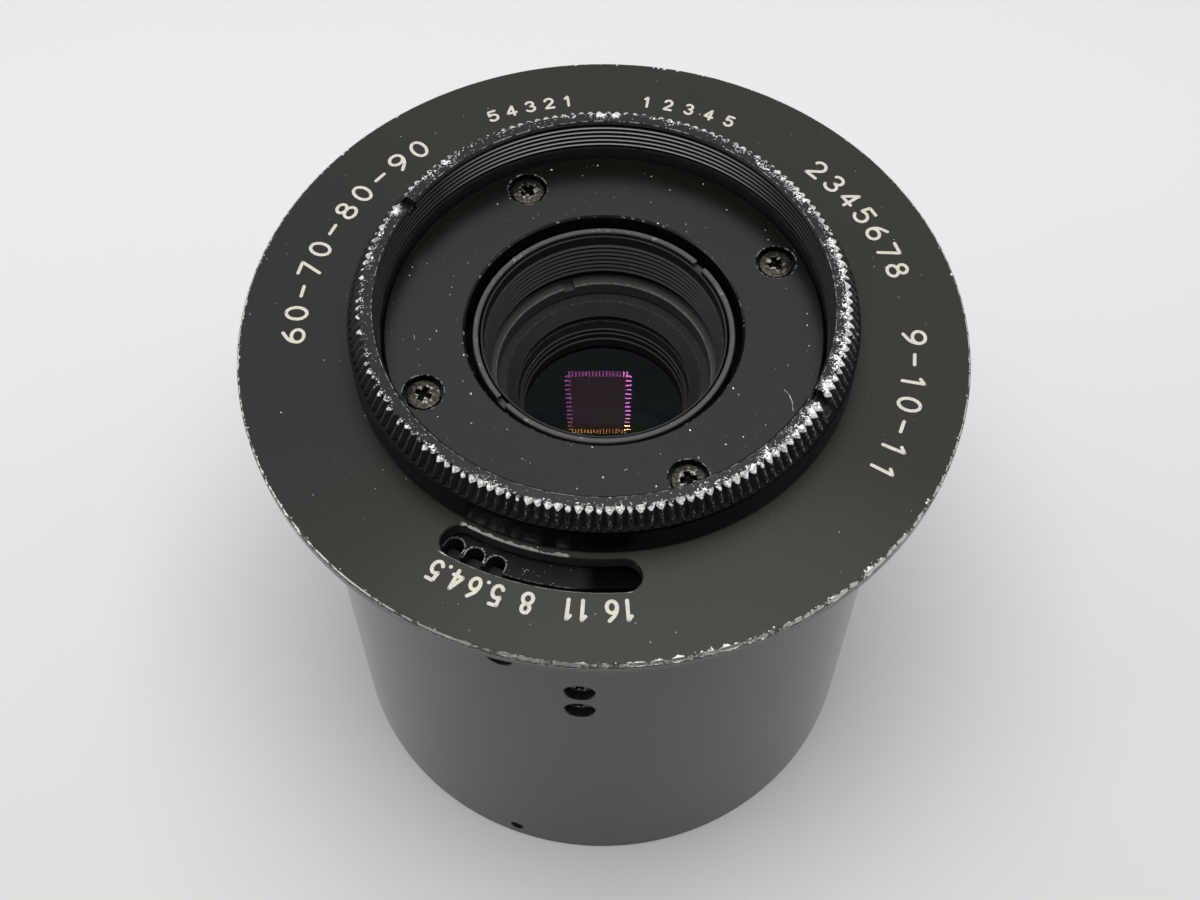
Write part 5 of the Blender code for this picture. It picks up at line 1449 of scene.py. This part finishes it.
def ring_body():
    low, high = valley_radius(KNURL_LOW), valley_radius(RING_TOP)
    mouth = 0.3
    profile = [(high - 0.02, RING_TOP), (high, RING_TOP - 0.03), (low, KNURL_LOW)]
    profile += [(RING_BASE_R - 0.22, KNURL_LOW - 0.10), (RING_BASE_R, KNURL_LOW - 0.32)]
    profile += [(RING_BASE_R, RING_LOW + 0.1), (RING_BASE_R - 0.1, RING_LOW), (RING_BORE, RING_LOW)]
    profile += [(RING_BORE, RING_SHOULDER), (THREAD_R + 0.1, RING_SHOULDER)]
    profile += [(THREAD_R, RING_SHOULDER + 0.1)]
    start = RING_SHOULDER + 0.25
    for i in range(THREADS):
        foot = start + i * THREAD_PITCH
        floor = [(THREAD_R + THREAD_DEPTH, foot + rise) for rise in THREAD_FLOOR]
        profile += [(THREAD_R, foot), *floor, (THREAD_R, foot + THREAD_CREST)]
    profile += [(THREAD_R, RING_TOP - mouth), (THREAD_R + mouth, RING_TOP)]
    body = piece("ring_body", turned(profile))
    notches = bmesh.new()
    low, high = RING_TOP - NOTCH_DEPTH, RING_TOP + 0.3
    for turn in (0, 180):
        block(notches, NOTCH_DEG + turn, THREAD_R - 0.5, RING_BASE_R + 0.4, NOTCH_WIDTH, low, high)
    milled(body, notches, None)
    grub = bmesh.new()
    height = RING_LOW + 1.2
    middle = [polar(radius, GRUB_DEG, height) for radius in (RING_BORE - 0.3, RING_BASE_R + 0.3)]
    cone(grub, *middle, GRUB_R, GRUB_R)
    return milled(body, grub, None)


body = ring_body()
tooth = tooth_shape()
knurl_sizes = {
    "Teeth": TEETH,
    "Notch angle": math.radians(NOTCH_DEG),
    "Notch half angle": math.radians(1.95),
    "Seed": 7,
    "Tooth": tooth,
    "Coat": ring_black,
}
zoom_ring = grown("knurled_ring", knurl_tree(), body.data, knurl_sizes, ring_black)
for spare in (body, tooth):
    bpy.data.objects.remove(spare, do_unlink=True)
fit(zoom_ring, "zoom_barrel", "ring_black", "zoom_ring")

# %% [markdown]
# ## Inside the lens tube
# The tube's thin edge shows grey in the plate's hole, with two spanner notches. Inside it a ridged sleeve, a
# retaining ring and a stepped cone keep stray light off the glass. All are matt black, and dust lies on the
# tube.

# %% Finishes inside the tube
def tube_finish():
    material, recipe = new_recipe("satin_tube")
    spot = spot_of(recipe)
    tone = noise(recipe, spot.point, 0.6, 3.0)
    fine = noise(recipe, spot.point, 5.0)
    top = spot.height.rise(TUBE_TOP - 0.25, TUBE_TOP - 0.02)
    coat = mixed(recipe, tone, (0.012, 0.012, 0.013), (0.026, 0.026, 0.028))
    coat = mixed(recipe, top * (0.55 + tone * 0.3), coat, (0.056, 0.057, 0.060))
    nicks = top * (fine * 0.5 + tone * 0.5).rise(0.60, 0.66) * 0.4
    lay(recipe, coat, 0.34 + tone * 0.12, nicks, tone, 0.01, 0.55)
    return material


def light_trap_finish(name, dark, pale, roughness, edges=(), specular=0.4):
    """Matt black, with a worn line along each round edge given as (radius, height, share worn)."""
    material, recipe = new_recipe(name)
    spot = spot_of(recipe)
    tone = noise(recipe, spot.point, 0.7, 3.0)
    fine = noise(recipe, spot.point, 4.5, 3.0)
    coat = mixed(recipe, tone * 0.6 + fine * 0.4, dark, pale)
    worn = fine.rise(0.70, 0.76) * 0.35
    for radius, height, share in edges:
        line = edge_gap(spot, radius, height).fall(0.05, 0.16) * fine.rise(0.36, 0.66) * share
        worn = worn.at_least(line)
    lay(recipe, coat, roughness, worn, fine, 0.01, specular)
    return material


# %% Lens tube
TUBE_R = 16.2
CARRIER_R = 24.6
CARRIER_HEIGHTS = (61.0, 67.0)
BODY_R = 18.5
TUBE_NOTCH_DEG = 40.0
TUBE_NOTCH_WIDE, TUBE_NOTCH_DEEP = 1.5, 0.8
LIP_WIDE, LIP_HIGH = 2.2, 1.5  # the lip at the tube's foot
FOLLOWER_SEAT = 22.3  # how near the axis the follower pins reach
FOLLOWER_R = 1.4


def make_tube():
    low = foot_of("front_lens_tube")
    under, over = CARRIER_HEIGHTS
    edge = 0.12
    profile = [(TUBE_R - edge, TUBE_TOP), (TUBE_R, TUBE_TOP - edge), (TUBE_R, over), (CARRIER_R, over)]
    profile += [(CARRIER_R, under), (BODY_R, under), (BODY_R, low), (TUBE_BORE - LIP_WIDE, low)]
    profile += [(TUBE_BORE - LIP_WIDE, low + LIP_HIGH), (TUBE_BORE, low + LIP_HIGH)]
    profile += [(TUBE_BORE, TUBE_TOP - edge), (TUBE_BORE + edge, TUBE_TOP)]
    tube = piece("lens_tube", turned(profile))
    notches = bmesh.new()
    low, high = TUBE_TOP - TUBE_NOTCH_DEEP, TUBE_TOP + 0.3
    for turn in (0, 180):
        block(notches, TUBE_NOTCH_DEG + turn, TUBE_BORE - 0.4, TUBE_R + 0.4, TUBE_NOTCH_WIDE, low, high)
    milled(tube, notches, None)
    seats_cut = bmesh.new()
    height = sum(CARRIER_HEIGHTS) / 2
    for degrees in every_third(90.0):
        middle = [polar(radius, degrees, height) for radius in (FOLLOWER_SEAT, CARRIER_R + 0.4)]
        cone(seats_cut, *middle, FOLLOWER_R, FOLLOWER_R, 24)
    return milled(tube, seats_cut, tube_finish())


tube = fit(make_tube(), "front_group", "ring_black", "front_lens_tube")

# %% Ridges
def ridge_tree():
    """Repeats a ring along the axis, each copy narrower than the last."""
    inputs = {"Ridges": "count", "Pitch": "size", "Narrowing": "size", "Ridge": "shape", "Coat": "finish"}
    tree, recipe, source = new_tree("ridges", inputs)
    step = recipe.node("ShaderNodeCombineXYZ", {}, {"Z": source.output("Pitch") * -1})
    points = recipe.node("GeometryNodeMeshLine", {}, {"Count": source.output("Ridges"), "Offset": step})
    index = recipe.node("GeometryNodeInputIndex")
    width = 1 - index * source.output("Narrowing")
    scale = recipe.node("ShaderNodeCombineXYZ", {}, {"X": width, "Y": width, "Z": 1.0})
    copies = copies_at(recipe, points, shape_of(recipe, source, "Ridge"), Scale=scale)
    close_tree(recipe, joined(recipe, copies, source), source.output("Coat"))
    return tree


# %% The ridged sleeve
RIDGES = 7
RIDGE_PITCH = 0.72
SLEEVE_TOP = top_of("ridged_baffle")
SLEEVE_LOW = foot_of("ridged_baffle")
CELL_R = 15.2
SLEEVE_BORE = (14.42, 15.02)  # at its foot and at its top
RIDGE_ROOT, RIDGE_CREST = 14.98, 14.62
RIDGE_NARROWING = 0.0048  # of the width, from one ridge to the next


def make_ridged_sleeve():
    """A thin sleeve that narrows downwards, with fine ridges below a plain band."""
    narrow, wide = SLEEVE_BORE
    profile = [(CELL_R, SLEEVE_TOP), (CELL_R, SLEEVE_LOW), (narrow, SLEEVE_LOW), (wide, SLEEVE_TOP)]
    sleeve = piece("sleeve_wall", turned(profile))
    first = SLEEVE_TOP - 1.35
    ring = [(RIDGE_ROOT, first), (RIDGE_ROOT, first - 0.42)]
    ring += [(RIDGE_CREST, first - 0.30), (RIDGE_CREST, first - 0.24)]
    ridge = piece("ridge_shape", turned(ring))
    coat = light_trap_finish("ridged_black", (0.007, 0.007, 0.0075), (0.014, 0.014, 0.015), 0.42)
    sizes = {"Ridges": RIDGES, "Pitch": RIDGE_PITCH * MM, "Narrowing": RIDGE_NARROWING}
    sizes |= {"Ridge": ridge, "Coat": coat}
    made = grown("ridged_sleeve", ridge_tree(), sleeve.data, sizes, coat)
    for spare in (sleeve, ridge):
        bpy.data.objects.remove(spare, do_unlink=True)
    return made


fit(make_ridged_sleeve(), "front_group", "baffle_black", "ridged_baffle")

# %% Retaining ring and stepped cone
CELL_RING_DEG = 109.1


def make_cell_ring():
    high, low = top_of("cell_retaining_ring"), foot_of("cell_retaining_ring")
    inner = CELL_R - 1.6
    profile = [(CELL_R, high - 0.1), (CELL_R - 0.1, high), (inner + 0.25, high), (inner, high - 0.25)]
    profile += [(inner, low), (CELL_R, low)]
    ring = piece("cell_ring", turned(profile[::-1]))
    notches = bmesh.new()
    for turn in (0, 180):
        block(notches, CELL_RING_DEG + turn, inner - 0.4, CELL_R - 0.3, 1.4, high - 0.7, high + 0.3)
    edges = ((inner + 0.12, high - 0.1, 0.20), (CELL_R - 0.1, high, 0.12))
    coat = light_trap_finish("cell_ring_black", (0.026, 0.026, 0.024), (0.060, 0.058, 0.053), 0.36, edges)
    return milled(ring, notches, coat)


# radius and height below the cone's top face, from the mouth down to the glass
CONE_OUTLINE = [(12.5, 0.1), (11.1, 1.55), (11.1, 1.75), (11.5, 1.8), (11.5, 2.75), (11.15, 2.8)]
CONE_OUTLINE += [(10.9, 4.05), (10.72, 4.15), (10.72, 4.8), (10.58, 4.87), (10.58, 5.8), (10.4, 5.9)]
CONE_EDGES = ((12.5, 0.1, 0.05), (11.1, 1.6, 0.04), (11.15, 2.8, 0.07))  # and how worn each is
CONE_EDGES += ((10.72, 4.15, 0.025), (10.58, 4.87, 0.015))


def make_stepped_cone():
    high, low = top_of("stepped_baffle"), foot_of("stepped_baffle")
    profile = [(CELL_R, low), (CELL_R, high), (CONE_OUTLINE[0][0] + 0.1, high)]
    profile += [(radius, high - depth) for radius, depth in CONE_OUTLINE] + [(CONE_OUTLINE[-1][0], low)]
    edges = [(radius, high - depth, share) for radius, depth, share in CONE_EDGES]
    dark, pale = (0.011, 0.011, 0.0118), (0.024, 0.024, 0.0255)
    coat = light_trap_finish("cone_black", dark, pale, 0.44, edges, 0.22)
    return piece("stepped_cone", turned(profile), coat)


fit(make_cell_ring(), "front_group", "baffle_black", "cell_retaining_ring")
fit(make_stepped_cone(), "front_group", "baffle_black", "stepped_baffle")

# %% [markdown]
# ## The glass
# Each element is a body between two curved faces. Thin coatings take away nearly all white reflection and
# leave a deep green-black glass with magenta and orange where a bright lamp shows. The tint turns from
# magenta to orange with the angle, which is to say with the place on the face, so it is laid on by place.

# %% Coated glass
LENS_STEPS = 20


def glass_finish(name, share, tint_far, tint_near, turn_low, turn_high, hollow=None):
    """Clear coated glass whose faint mirror turns from one tint to the other along Y.

    hollow, in millimetres, is the radius of a deeper hollow face whose image this face shows.
    """
    material, recipe = new_recipe(name)
    spot = spot_of(recipe)
    clear = {"Color": (0.84, 0.93, 0.88), "Roughness": 0.0, "IOR": 1.5}
    body = recipe.node("ShaderNodeBsdfRefraction", {}, clear)
    normal = recipe.node("ShaderNodeNewGeometry", output="Normal")
    upward = recipe.node("ShaderNodeSeparateXYZ", {}, {0: normal}, "Z").rise(0.3, 0.4)
    outside = 1 - normal.output("Backfacing")
    mirror = {"Roughness": 0.0}
    if hollow:
        lean = {0: spot.point, 1: (-1 / hollow, -1 / hollow, 0.0), 2: (0.0, 0.0, 1.0)}
        inward = recipe.node("ShaderNodeVectorMath", {"operation": "MULTIPLY_ADD"}, lean)
        mirror["Normal"] = recipe.node("ShaderNodeVectorMath", {"operation": "NORMALIZE"}, {0: inward})
    far = recipe.node("ShaderNodeBsdfGlossy", {}, {"Color": tint_far, **mirror})
    near = recipe.node("ShaderNodeBsdfGlossy", {}, {"Color": tint_near, **mirror})
    coat = recipe.node("ShaderNodeMixShader", {}, {0: spot.y.fall(turn_low, turn_high), 1: far, 2: near})
    smear = noise(recipe, spot.point, 0.25)
    part = upward * outside * share * (0.9 + smear * 0.2)
    both = recipe.node("ShaderNodeMixShader", {}, {0: part, 1: body, 2: coat})
    recipe.node("ShaderNodeOutputMaterial", {}, {"Surface": both})
    return material


def lens_profile(radius, low, high, low_sag, high_sag):
    """An element's outline between two curved faces; each sag is how far a face bulges past its edge."""
    shares = [i / LENS_STEPS for i in range(LENS_STEPS + 1)]
    upper = [(radius * share, high + high_sag * (1 - share**2)) for share in shares]
    lower = [(radius * share, low - low_sag * (1 - share**2)) for share in shares]
    return upper + lower[::-1]


def lens_piece(name, node, low_sag, high_sag, material):
    """A smooth element in the box of its plain node."""
    low, high = foot_of(node) + max(low_sag, 0), top_of(node) - max(high_sag, 0)
    profile = lens_profile(radius_of(node), low, high, low_sag, high_sag)
    return piece(name, turned(profile, FINE_TURNS), material)


MAGENTA, ORANGE = (0.92, 0.21, 0.84), (1.0, 0.36, 0.16)
GREEN, BLUE = (0.25, 0.80, 0.60), (0.40, 0.60, 0.80)
VIOLET, PALE_GREEN = (0.55, 0.30, 0.95), (0.25, 0.75, 0.60)
front_glass = glass_finish("front_coating", 0.080, MAGENTA, ORANGE, -3.5, -0.8, hollow=45.0)
inner_glass = glass_finish("inner_coating", 0.003, GREEN, BLUE, -3.0, 6.0)
rear_glass = glass_finish("rear_coating", 0.003, VIOLET, PALE_GREEN, -3.0, 6.0)
FRONT_CURVE_R = 39.0
FRONT_SAG = CELL_R**2 / (2 * FRONT_CURVE_R)
for name, node, body_name, sags, coating in (
    ("front_glass", "front_element", "front_group", (0.9, FRONT_SAG), front_glass),
    ("second_glass", "second_element", "front_group", (0.0, -0.6), inner_glass),
    ("third_glass", "third_element", "rear_group", (0.8, 0.8), inner_glass),
    ("fourth_glass", "fourth_element", "rear_group", (-0.8, 0.8), inner_glass),
    ("rear_glass", "fifth_element", "rear_group", (0.8, -0.8), rear_glass),
):
    fit(lens_piece(name, node, *sags, coating), body_name, "coated_glass", node)

# %% [markdown]
# ## The aperture ring
# Under the curved slot lies the ring that sets the iris. It has three half-round notches for the pin that
# turns it, and the pin has worn their edges to bare metal. Grit that falls through the slot stays on it.

# %% Aperture ring
PIN_NOTCH_R = 1.15
PIN_NOTCH_CENTRE_R = 33.6
PIN_NOTCH_DEGS = (-121.0, -116.4, -111.8)
BAR_SCREW_R = 31.5
BAR_SCREW_DEG = 60
BAR_HOLE_R, BAR_HEAD_R = 0.65, 1.0
APERTURE_WIDE = 4.3
APERTURE_TOP = top_of("aperture_ring")
APERTURE_LOW = foot_of("aperture_ring")


def aperture_finish():
    material, recipe = new_recipe("worn_aperture_ring")
    spot = spot_of(recipe)
    tone = noise(recipe, spot.point, 1.2, 3.0)
    fine = noise(recipe, spot.point, 4.0, 3.0)
    coat = mixed(recipe, tone * 0.5 + fine * 0.5, (0.003, 0.003, 0.003), (0.009, 0.009, 0.009))
    centres = [place_gap(spot, PIN_NOTCH_CENTRE_R, degrees) for degrees in PIN_NOTCH_DEGS]
    arches = nearest([abs(gap - PIN_NOTCH_R - 0.04) for gap in centres])
    at_top = spot.height.rise(APERTURE_TOP - 0.3, APERTURE_TOP - 0.05)
    rims = ((fine - 0.5) * 0.9 + 0.12 - arches).rise(0.03, 0.09) * at_top
    scraped = (fine * 0.55 + tone * 0.45).rise(0.635, 0.66) * at_top * 0.8
    # past the last figure the ring is painted a dead black, a painted shade at the end of the slot
    painted_end_shade = between(spot, -95.0, -78.0, 4.0)
    outer = edge_gap(spot, radius_of("aperture_ring"), APERTURE_TOP).fall(0.04, 0.12)
    outer = outer * fine.rise(0.4, 0.6) * 0.5
    worn = rims.at_least(scraped).at_least(outer) * painted_end_shade.fall(0.0, 0.02)
    metal = mixed(recipe, painted_end_shade.rise(0.0, 0.02), BARE_METAL, (0.006, 0.006, 0.006))
    worn = worn.at_least(painted_end_shade)
    lay(recipe, coat, 0.36, worn, fine - worn, 0.02, 0.22, metal=metal)
    return material


# %% The notched ring
def make_aperture_ring():
    outer = radius_of("aperture_ring")
    inner = outer - APERTURE_WIDE
    edge = 0.1
    profile = [(outer - edge, APERTURE_TOP), (outer, APERTURE_TOP - edge), (outer, APERTURE_LOW)]
    profile += [(inner, APERTURE_LOW), (inner, APERTURE_TOP - edge), (inner + edge, APERTURE_TOP)]
    ring = piece("iris_setting_ring", turned(profile))
    notches = bmesh.new()
    for degrees in PIN_NOTCH_DEGS:
        centre = polar(PIN_NOTCH_CENTRE_R, degrees) / MM
        outline = arc_points(centre, PIN_NOTCH_R, degrees + 90, degrees + 270, 16)
        side = polar(outer + 0.4, degrees) / MM
        across = polar(PIN_NOTCH_R, degrees + 90) / MM
        outline += [(side - across)[:2], (side + across)[:2]]
        prism(notches, outline, APERTURE_LOW - 0.3, APERTURE_TOP + 0.3)
    milled(ring, notches, None)
    for start, end, radius, material in (
        (APERTURE_LOW - 0.3, APERTURE_TOP - 0.4, BAR_HOLE_R, None),
        (APERTURE_TOP - 0.55, APERTURE_TOP + 0.3, BAR_HEAD_R, aperture_finish()),
    ):
        hole = bmesh.new()
        middle = [polar(BAR_SCREW_R, BAR_SCREW_DEG, height) for height in (start, end)]
        cone(hole, *middle, radius, radius, 24)
        milled(ring, hole, material)
    return ring


fit(make_aperture_ring(), "aperture_control", "ring_black", "aperture_ring")

# %% [markdown]
# ## The rear ring
# The foot of the barrel is closed by a ring with a wide bevelled opening and two spanner notches. It is
# seen only when the lens is picked up, and is finished in the same satin black as the barrel.

# %% Rear ring
REAR_RING_WIDE = 14.0
REAR_BEVEL = 1.5
REAR_NOTCH_WIDE, REAR_NOTCH_LONG = 2.5, 6.0


def make_rear_ring():
    low, high = foot_of("rear_ring"), top_of("rear_ring")
    outer = radius_of("rear_ring")
    inner = outer - REAR_RING_WIDE
    profile = [(outer, high), (outer, low + 0.1), (outer - 0.1, low), (inner + REAR_BEVEL, low)]
    profile += [(inner, low + REAR_BEVEL), (inner, high)]
    ring = piece("rear_cover", turned(profile))
    notches = bmesh.new()
    for degrees in (0, 180):
        reach = inner + REAR_NOTCH_LONG
        block(notches, degrees, inner - 0.4, reach, REAR_NOTCH_WIDE, low - 0.3, low + REAR_BEVEL)
    milled(ring, notches, None)
    holes = bmesh.new()
    for degrees in every_third(SET_SCREW_DEG):
        middle = [polar(radius, degrees, SET_SCREW_HEIGHT) for radius in (34.7, 36.4)]
        cone(holes, *middle, SET_HOLE_R, SET_HOLE_R, 24)
    return milled(ring, holes, barrel_finish())


fit(make_rear_ring(), "housing", "ring_black", "rear_ring")

# %% [markdown]
# ## The pieces inside
# Sleeves, carriers, followers and the iris keep the frame's own shapes. They are hardly seen, but each
# gets the finish of its metal: tool marks that run round a turned piece, and grain on the blades.

# %% Bare metals
def turned_metal(name, dark, pale, roughness, marks=(0.15, 0.15, 6.0)):
    """A bare turned metal with tool marks round the axis."""
    material, recipe = new_recipe(name)
    spot = spot_of(recipe)
    tone = noise(recipe, spot.point, 0.3, 3.0)
    lines = noise(recipe, spot.point, 1.0, 3.0, stretch=marks)
    colour = mixed(recipe, tone * 0.6 + lines * 0.4, dark, pale)
    bump = recipe.node("ShaderNodeBump", {}, {"Height": lines, "Distance": 0.01 * MM})
    shader = recipe.node(
        "ShaderNodeBsdfPrincipled",
        {},
        {"Base Color": colour, "Metallic": 1.0, "Roughness": roughness + lines * 0.15, "Normal": bump},
    )
    recipe.node("ShaderNodeOutputMaterial", {}, {"Surface": shader})
    return material


aluminium = turned_metal("turned_aluminium", (0.42, 0.42, 0.43), (0.62, 0.62, 0.63), 0.25)
brass = turned_metal("turned_brass", (0.46, 0.33, 0.13), (0.66, 0.50, 0.22), 0.25)
blackened_brass = light_trap_finish("blackened_brass", (0.008, 0.008, 0.008), (0.018, 0.018, 0.018), 0.45)
blade_steel = turned_metal(
    "blackened_blade_steel", (0.035, 0.035, 0.037), (0.075, 0.075, 0.08), 0.35, marks=(4.0, 0.4, 1.0)
)
inner_black = light_trap_finish("inner_black", (0.010, 0.010, 0.010), (0.022, 0.022, 0.022), 0.42)
by_slot = {
    "machined_aluminium": aluminium,
    "brass": brass,
    "blade_steel": blade_steel,
    "screw_steel": steel,
    "ring_black": inner_black,
    "baffle_black": inner_black,
}
BLACKENED = ("cam_sleeve", "friction_washer", "aperture_retainer", "guide_tube")
kept = {
    "machined_aluminium": ["guide_tube", "aperture_retainer", "rear_carrier"],
    "brass": ["stop_block", "friction_washer", "cam_sleeve", "aperture_drive_bar", "iris_drive_ring"]
    + [f"{group}_follower_{i + 1}" for group in ("front", "rear") for i in range(3)],
    "blade_steel": [f"iris_blade_{i + 1}" for i in range(6)],
    "screw_steel": ["zoom_ring_grub", "drive_bar_screw"],
    "ring_black": ["iris_housing"],
    "baffle_black": ["front_spacer", "rear_spacer", "rear_retaining_ring", "tail_retaining_ring"],
}
for slot_name, nodes in kept.items():
    for node in nodes:
        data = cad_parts[node].data
        data.materials.clear()
        data.materials.append(blackened_brass if node in BLACKENED else by_slot[slot_name])
print(sum(len(nodes) for nodes in kept.values()), "plain nodes given a finish")

# %% [markdown]
# ## Dust
# Nothing says matt black like the dust on it. Grains from a twentieth to a third of a millimetre wide lie on
# the level faces of the plate, the flange, the lens tube and the front glass. They are real little lumps,
# scattered by a tree on the faces that look up, so they stay as small and sharp as dust is, which a painted
# texture would not.

# %% Dust tree
def dust_tree():
    inputs = {"Density": "size", "Smallest": "size", "Largest": "size", "Seed": "count", "Dust": "finish"}
    tree, recipe, source = new_tree("dust", inputs)
    normal = recipe.node("GeometryNodeInputNormal")
    upward = recipe.node("ShaderNodeSeparateXYZ", {}, {0: normal}, "Z")
    level = recipe.node("FunctionNodeCompare", {"operation": "GREATER_THAN"}, {0: upward, 1: 0.9})
    seed = source.output("Seed")
    points = recipe.node(
        "GeometryNodeDistributePointsOnFaces",
        {},
        {"Mesh": source, "Selection": level, "Density": source.output("Density"), "Seed": seed},
    )
    share = random_share(recipe, seed + 1)
    size = blended(share ** 3, source.output("Smallest"), source.output("Largest"))
    scale = recipe.node("ShaderNodeCombineXYZ", {}, {"X": size, "Y": size * 0.7, "Z": size * 0.4})
    spin = random_share(recipe, seed + 2, 2 * math.pi)
    turn = recipe.node("FunctionNodeAxisAngleToRotation", {}, {"Axis": (0.0, 0.0, 1.0), "Angle": spin})
    grain = recipe.node("GeometryNodeMeshIcoSphere", {}, {"Radius": 1.0, "Subdivisions": 1})
    copies = copies_at(recipe, points, grain, Rotation=turn, Scale=scale)
    close_tree(recipe, copies, source.output("Dust"))
    return tree


def dust_finish():
    material, recipe = new_recipe("pale_dust")
    spot = spot_of(recipe)
    tone = noise(recipe, spot.point, 0.8)
    colour = mixed(recipe, tone.rise(0.35, 0.65), (0.20, 0.20, 0.19), (0.80, 0.79, 0.75))
    lay(recipe, colour, 0.8, 0.0, tone, 0.01, 0.2)
    return material


SMALLEST_GRAIN = 0.025  # half its width, as the largest is given below
dust = dust_tree()
dust_grey = dust_finish()
front_element = bpy.data.objects["front_glass"]
for name, host, body_name, slot_name, density, largest, seed in (
    ("plate_dust", plate, "housing", "flange_black", 0.14, 0.17, 3),
    ("flange_dust", flange, "housing", "flange_black", 0.045, 0.13, 5),
    ("tube_dust", tube, "front_group", "ring_black", 0.10, 0.09, 13),
    ("glass_dust", front_element, "front_group", "coated_glass", 0.035, 0.06, 2),
):
    sizes = {
        "Density": density / MM**2,
        "Smallest": SMALLEST_GRAIN * MM,
        "Largest": largest * MM,
        "Seed": seed,
        "Dust": dust_grey,
    }
    grains = grown(name, dust, host.data.copy(), sizes, dust_grey)
    fit(grains, body_name, slot_name)

# %% A hair and a scratch on the plate
LINT = [[(21.59, -9.43, 0.0), (22.15, -10.15, 0.0), (22.45, -11.16, 0.0), (22.48, -12.44, 0.0)]]
LINT += [[(-23.25, -1.51, 0.0), (-23.10, -2.11, 0.0)]]
sizes = {
    "Cutter radius": 0.035 * MM,
    "Flatness": 0.5,
    "Surface height": PLATE_TOP * MM,
    "Fill": dust_grey,
}
lint = grown("plate_lint", engraving, curve_of("plate_lint", LINT), sizes, dust_grey)
fit(lint, "housing", "flange_black")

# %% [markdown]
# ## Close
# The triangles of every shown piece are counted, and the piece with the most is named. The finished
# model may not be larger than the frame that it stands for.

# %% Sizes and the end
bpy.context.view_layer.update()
triangles = {o.name: sum(len(p.vertices) - 2 for p in o.data.polygons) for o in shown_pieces()}
largest_piece = max(triangles, key=triangles.get)
print(f"{sum(triangles.values())} triangles, the most in", largest_piece, triangles[largest_piece])
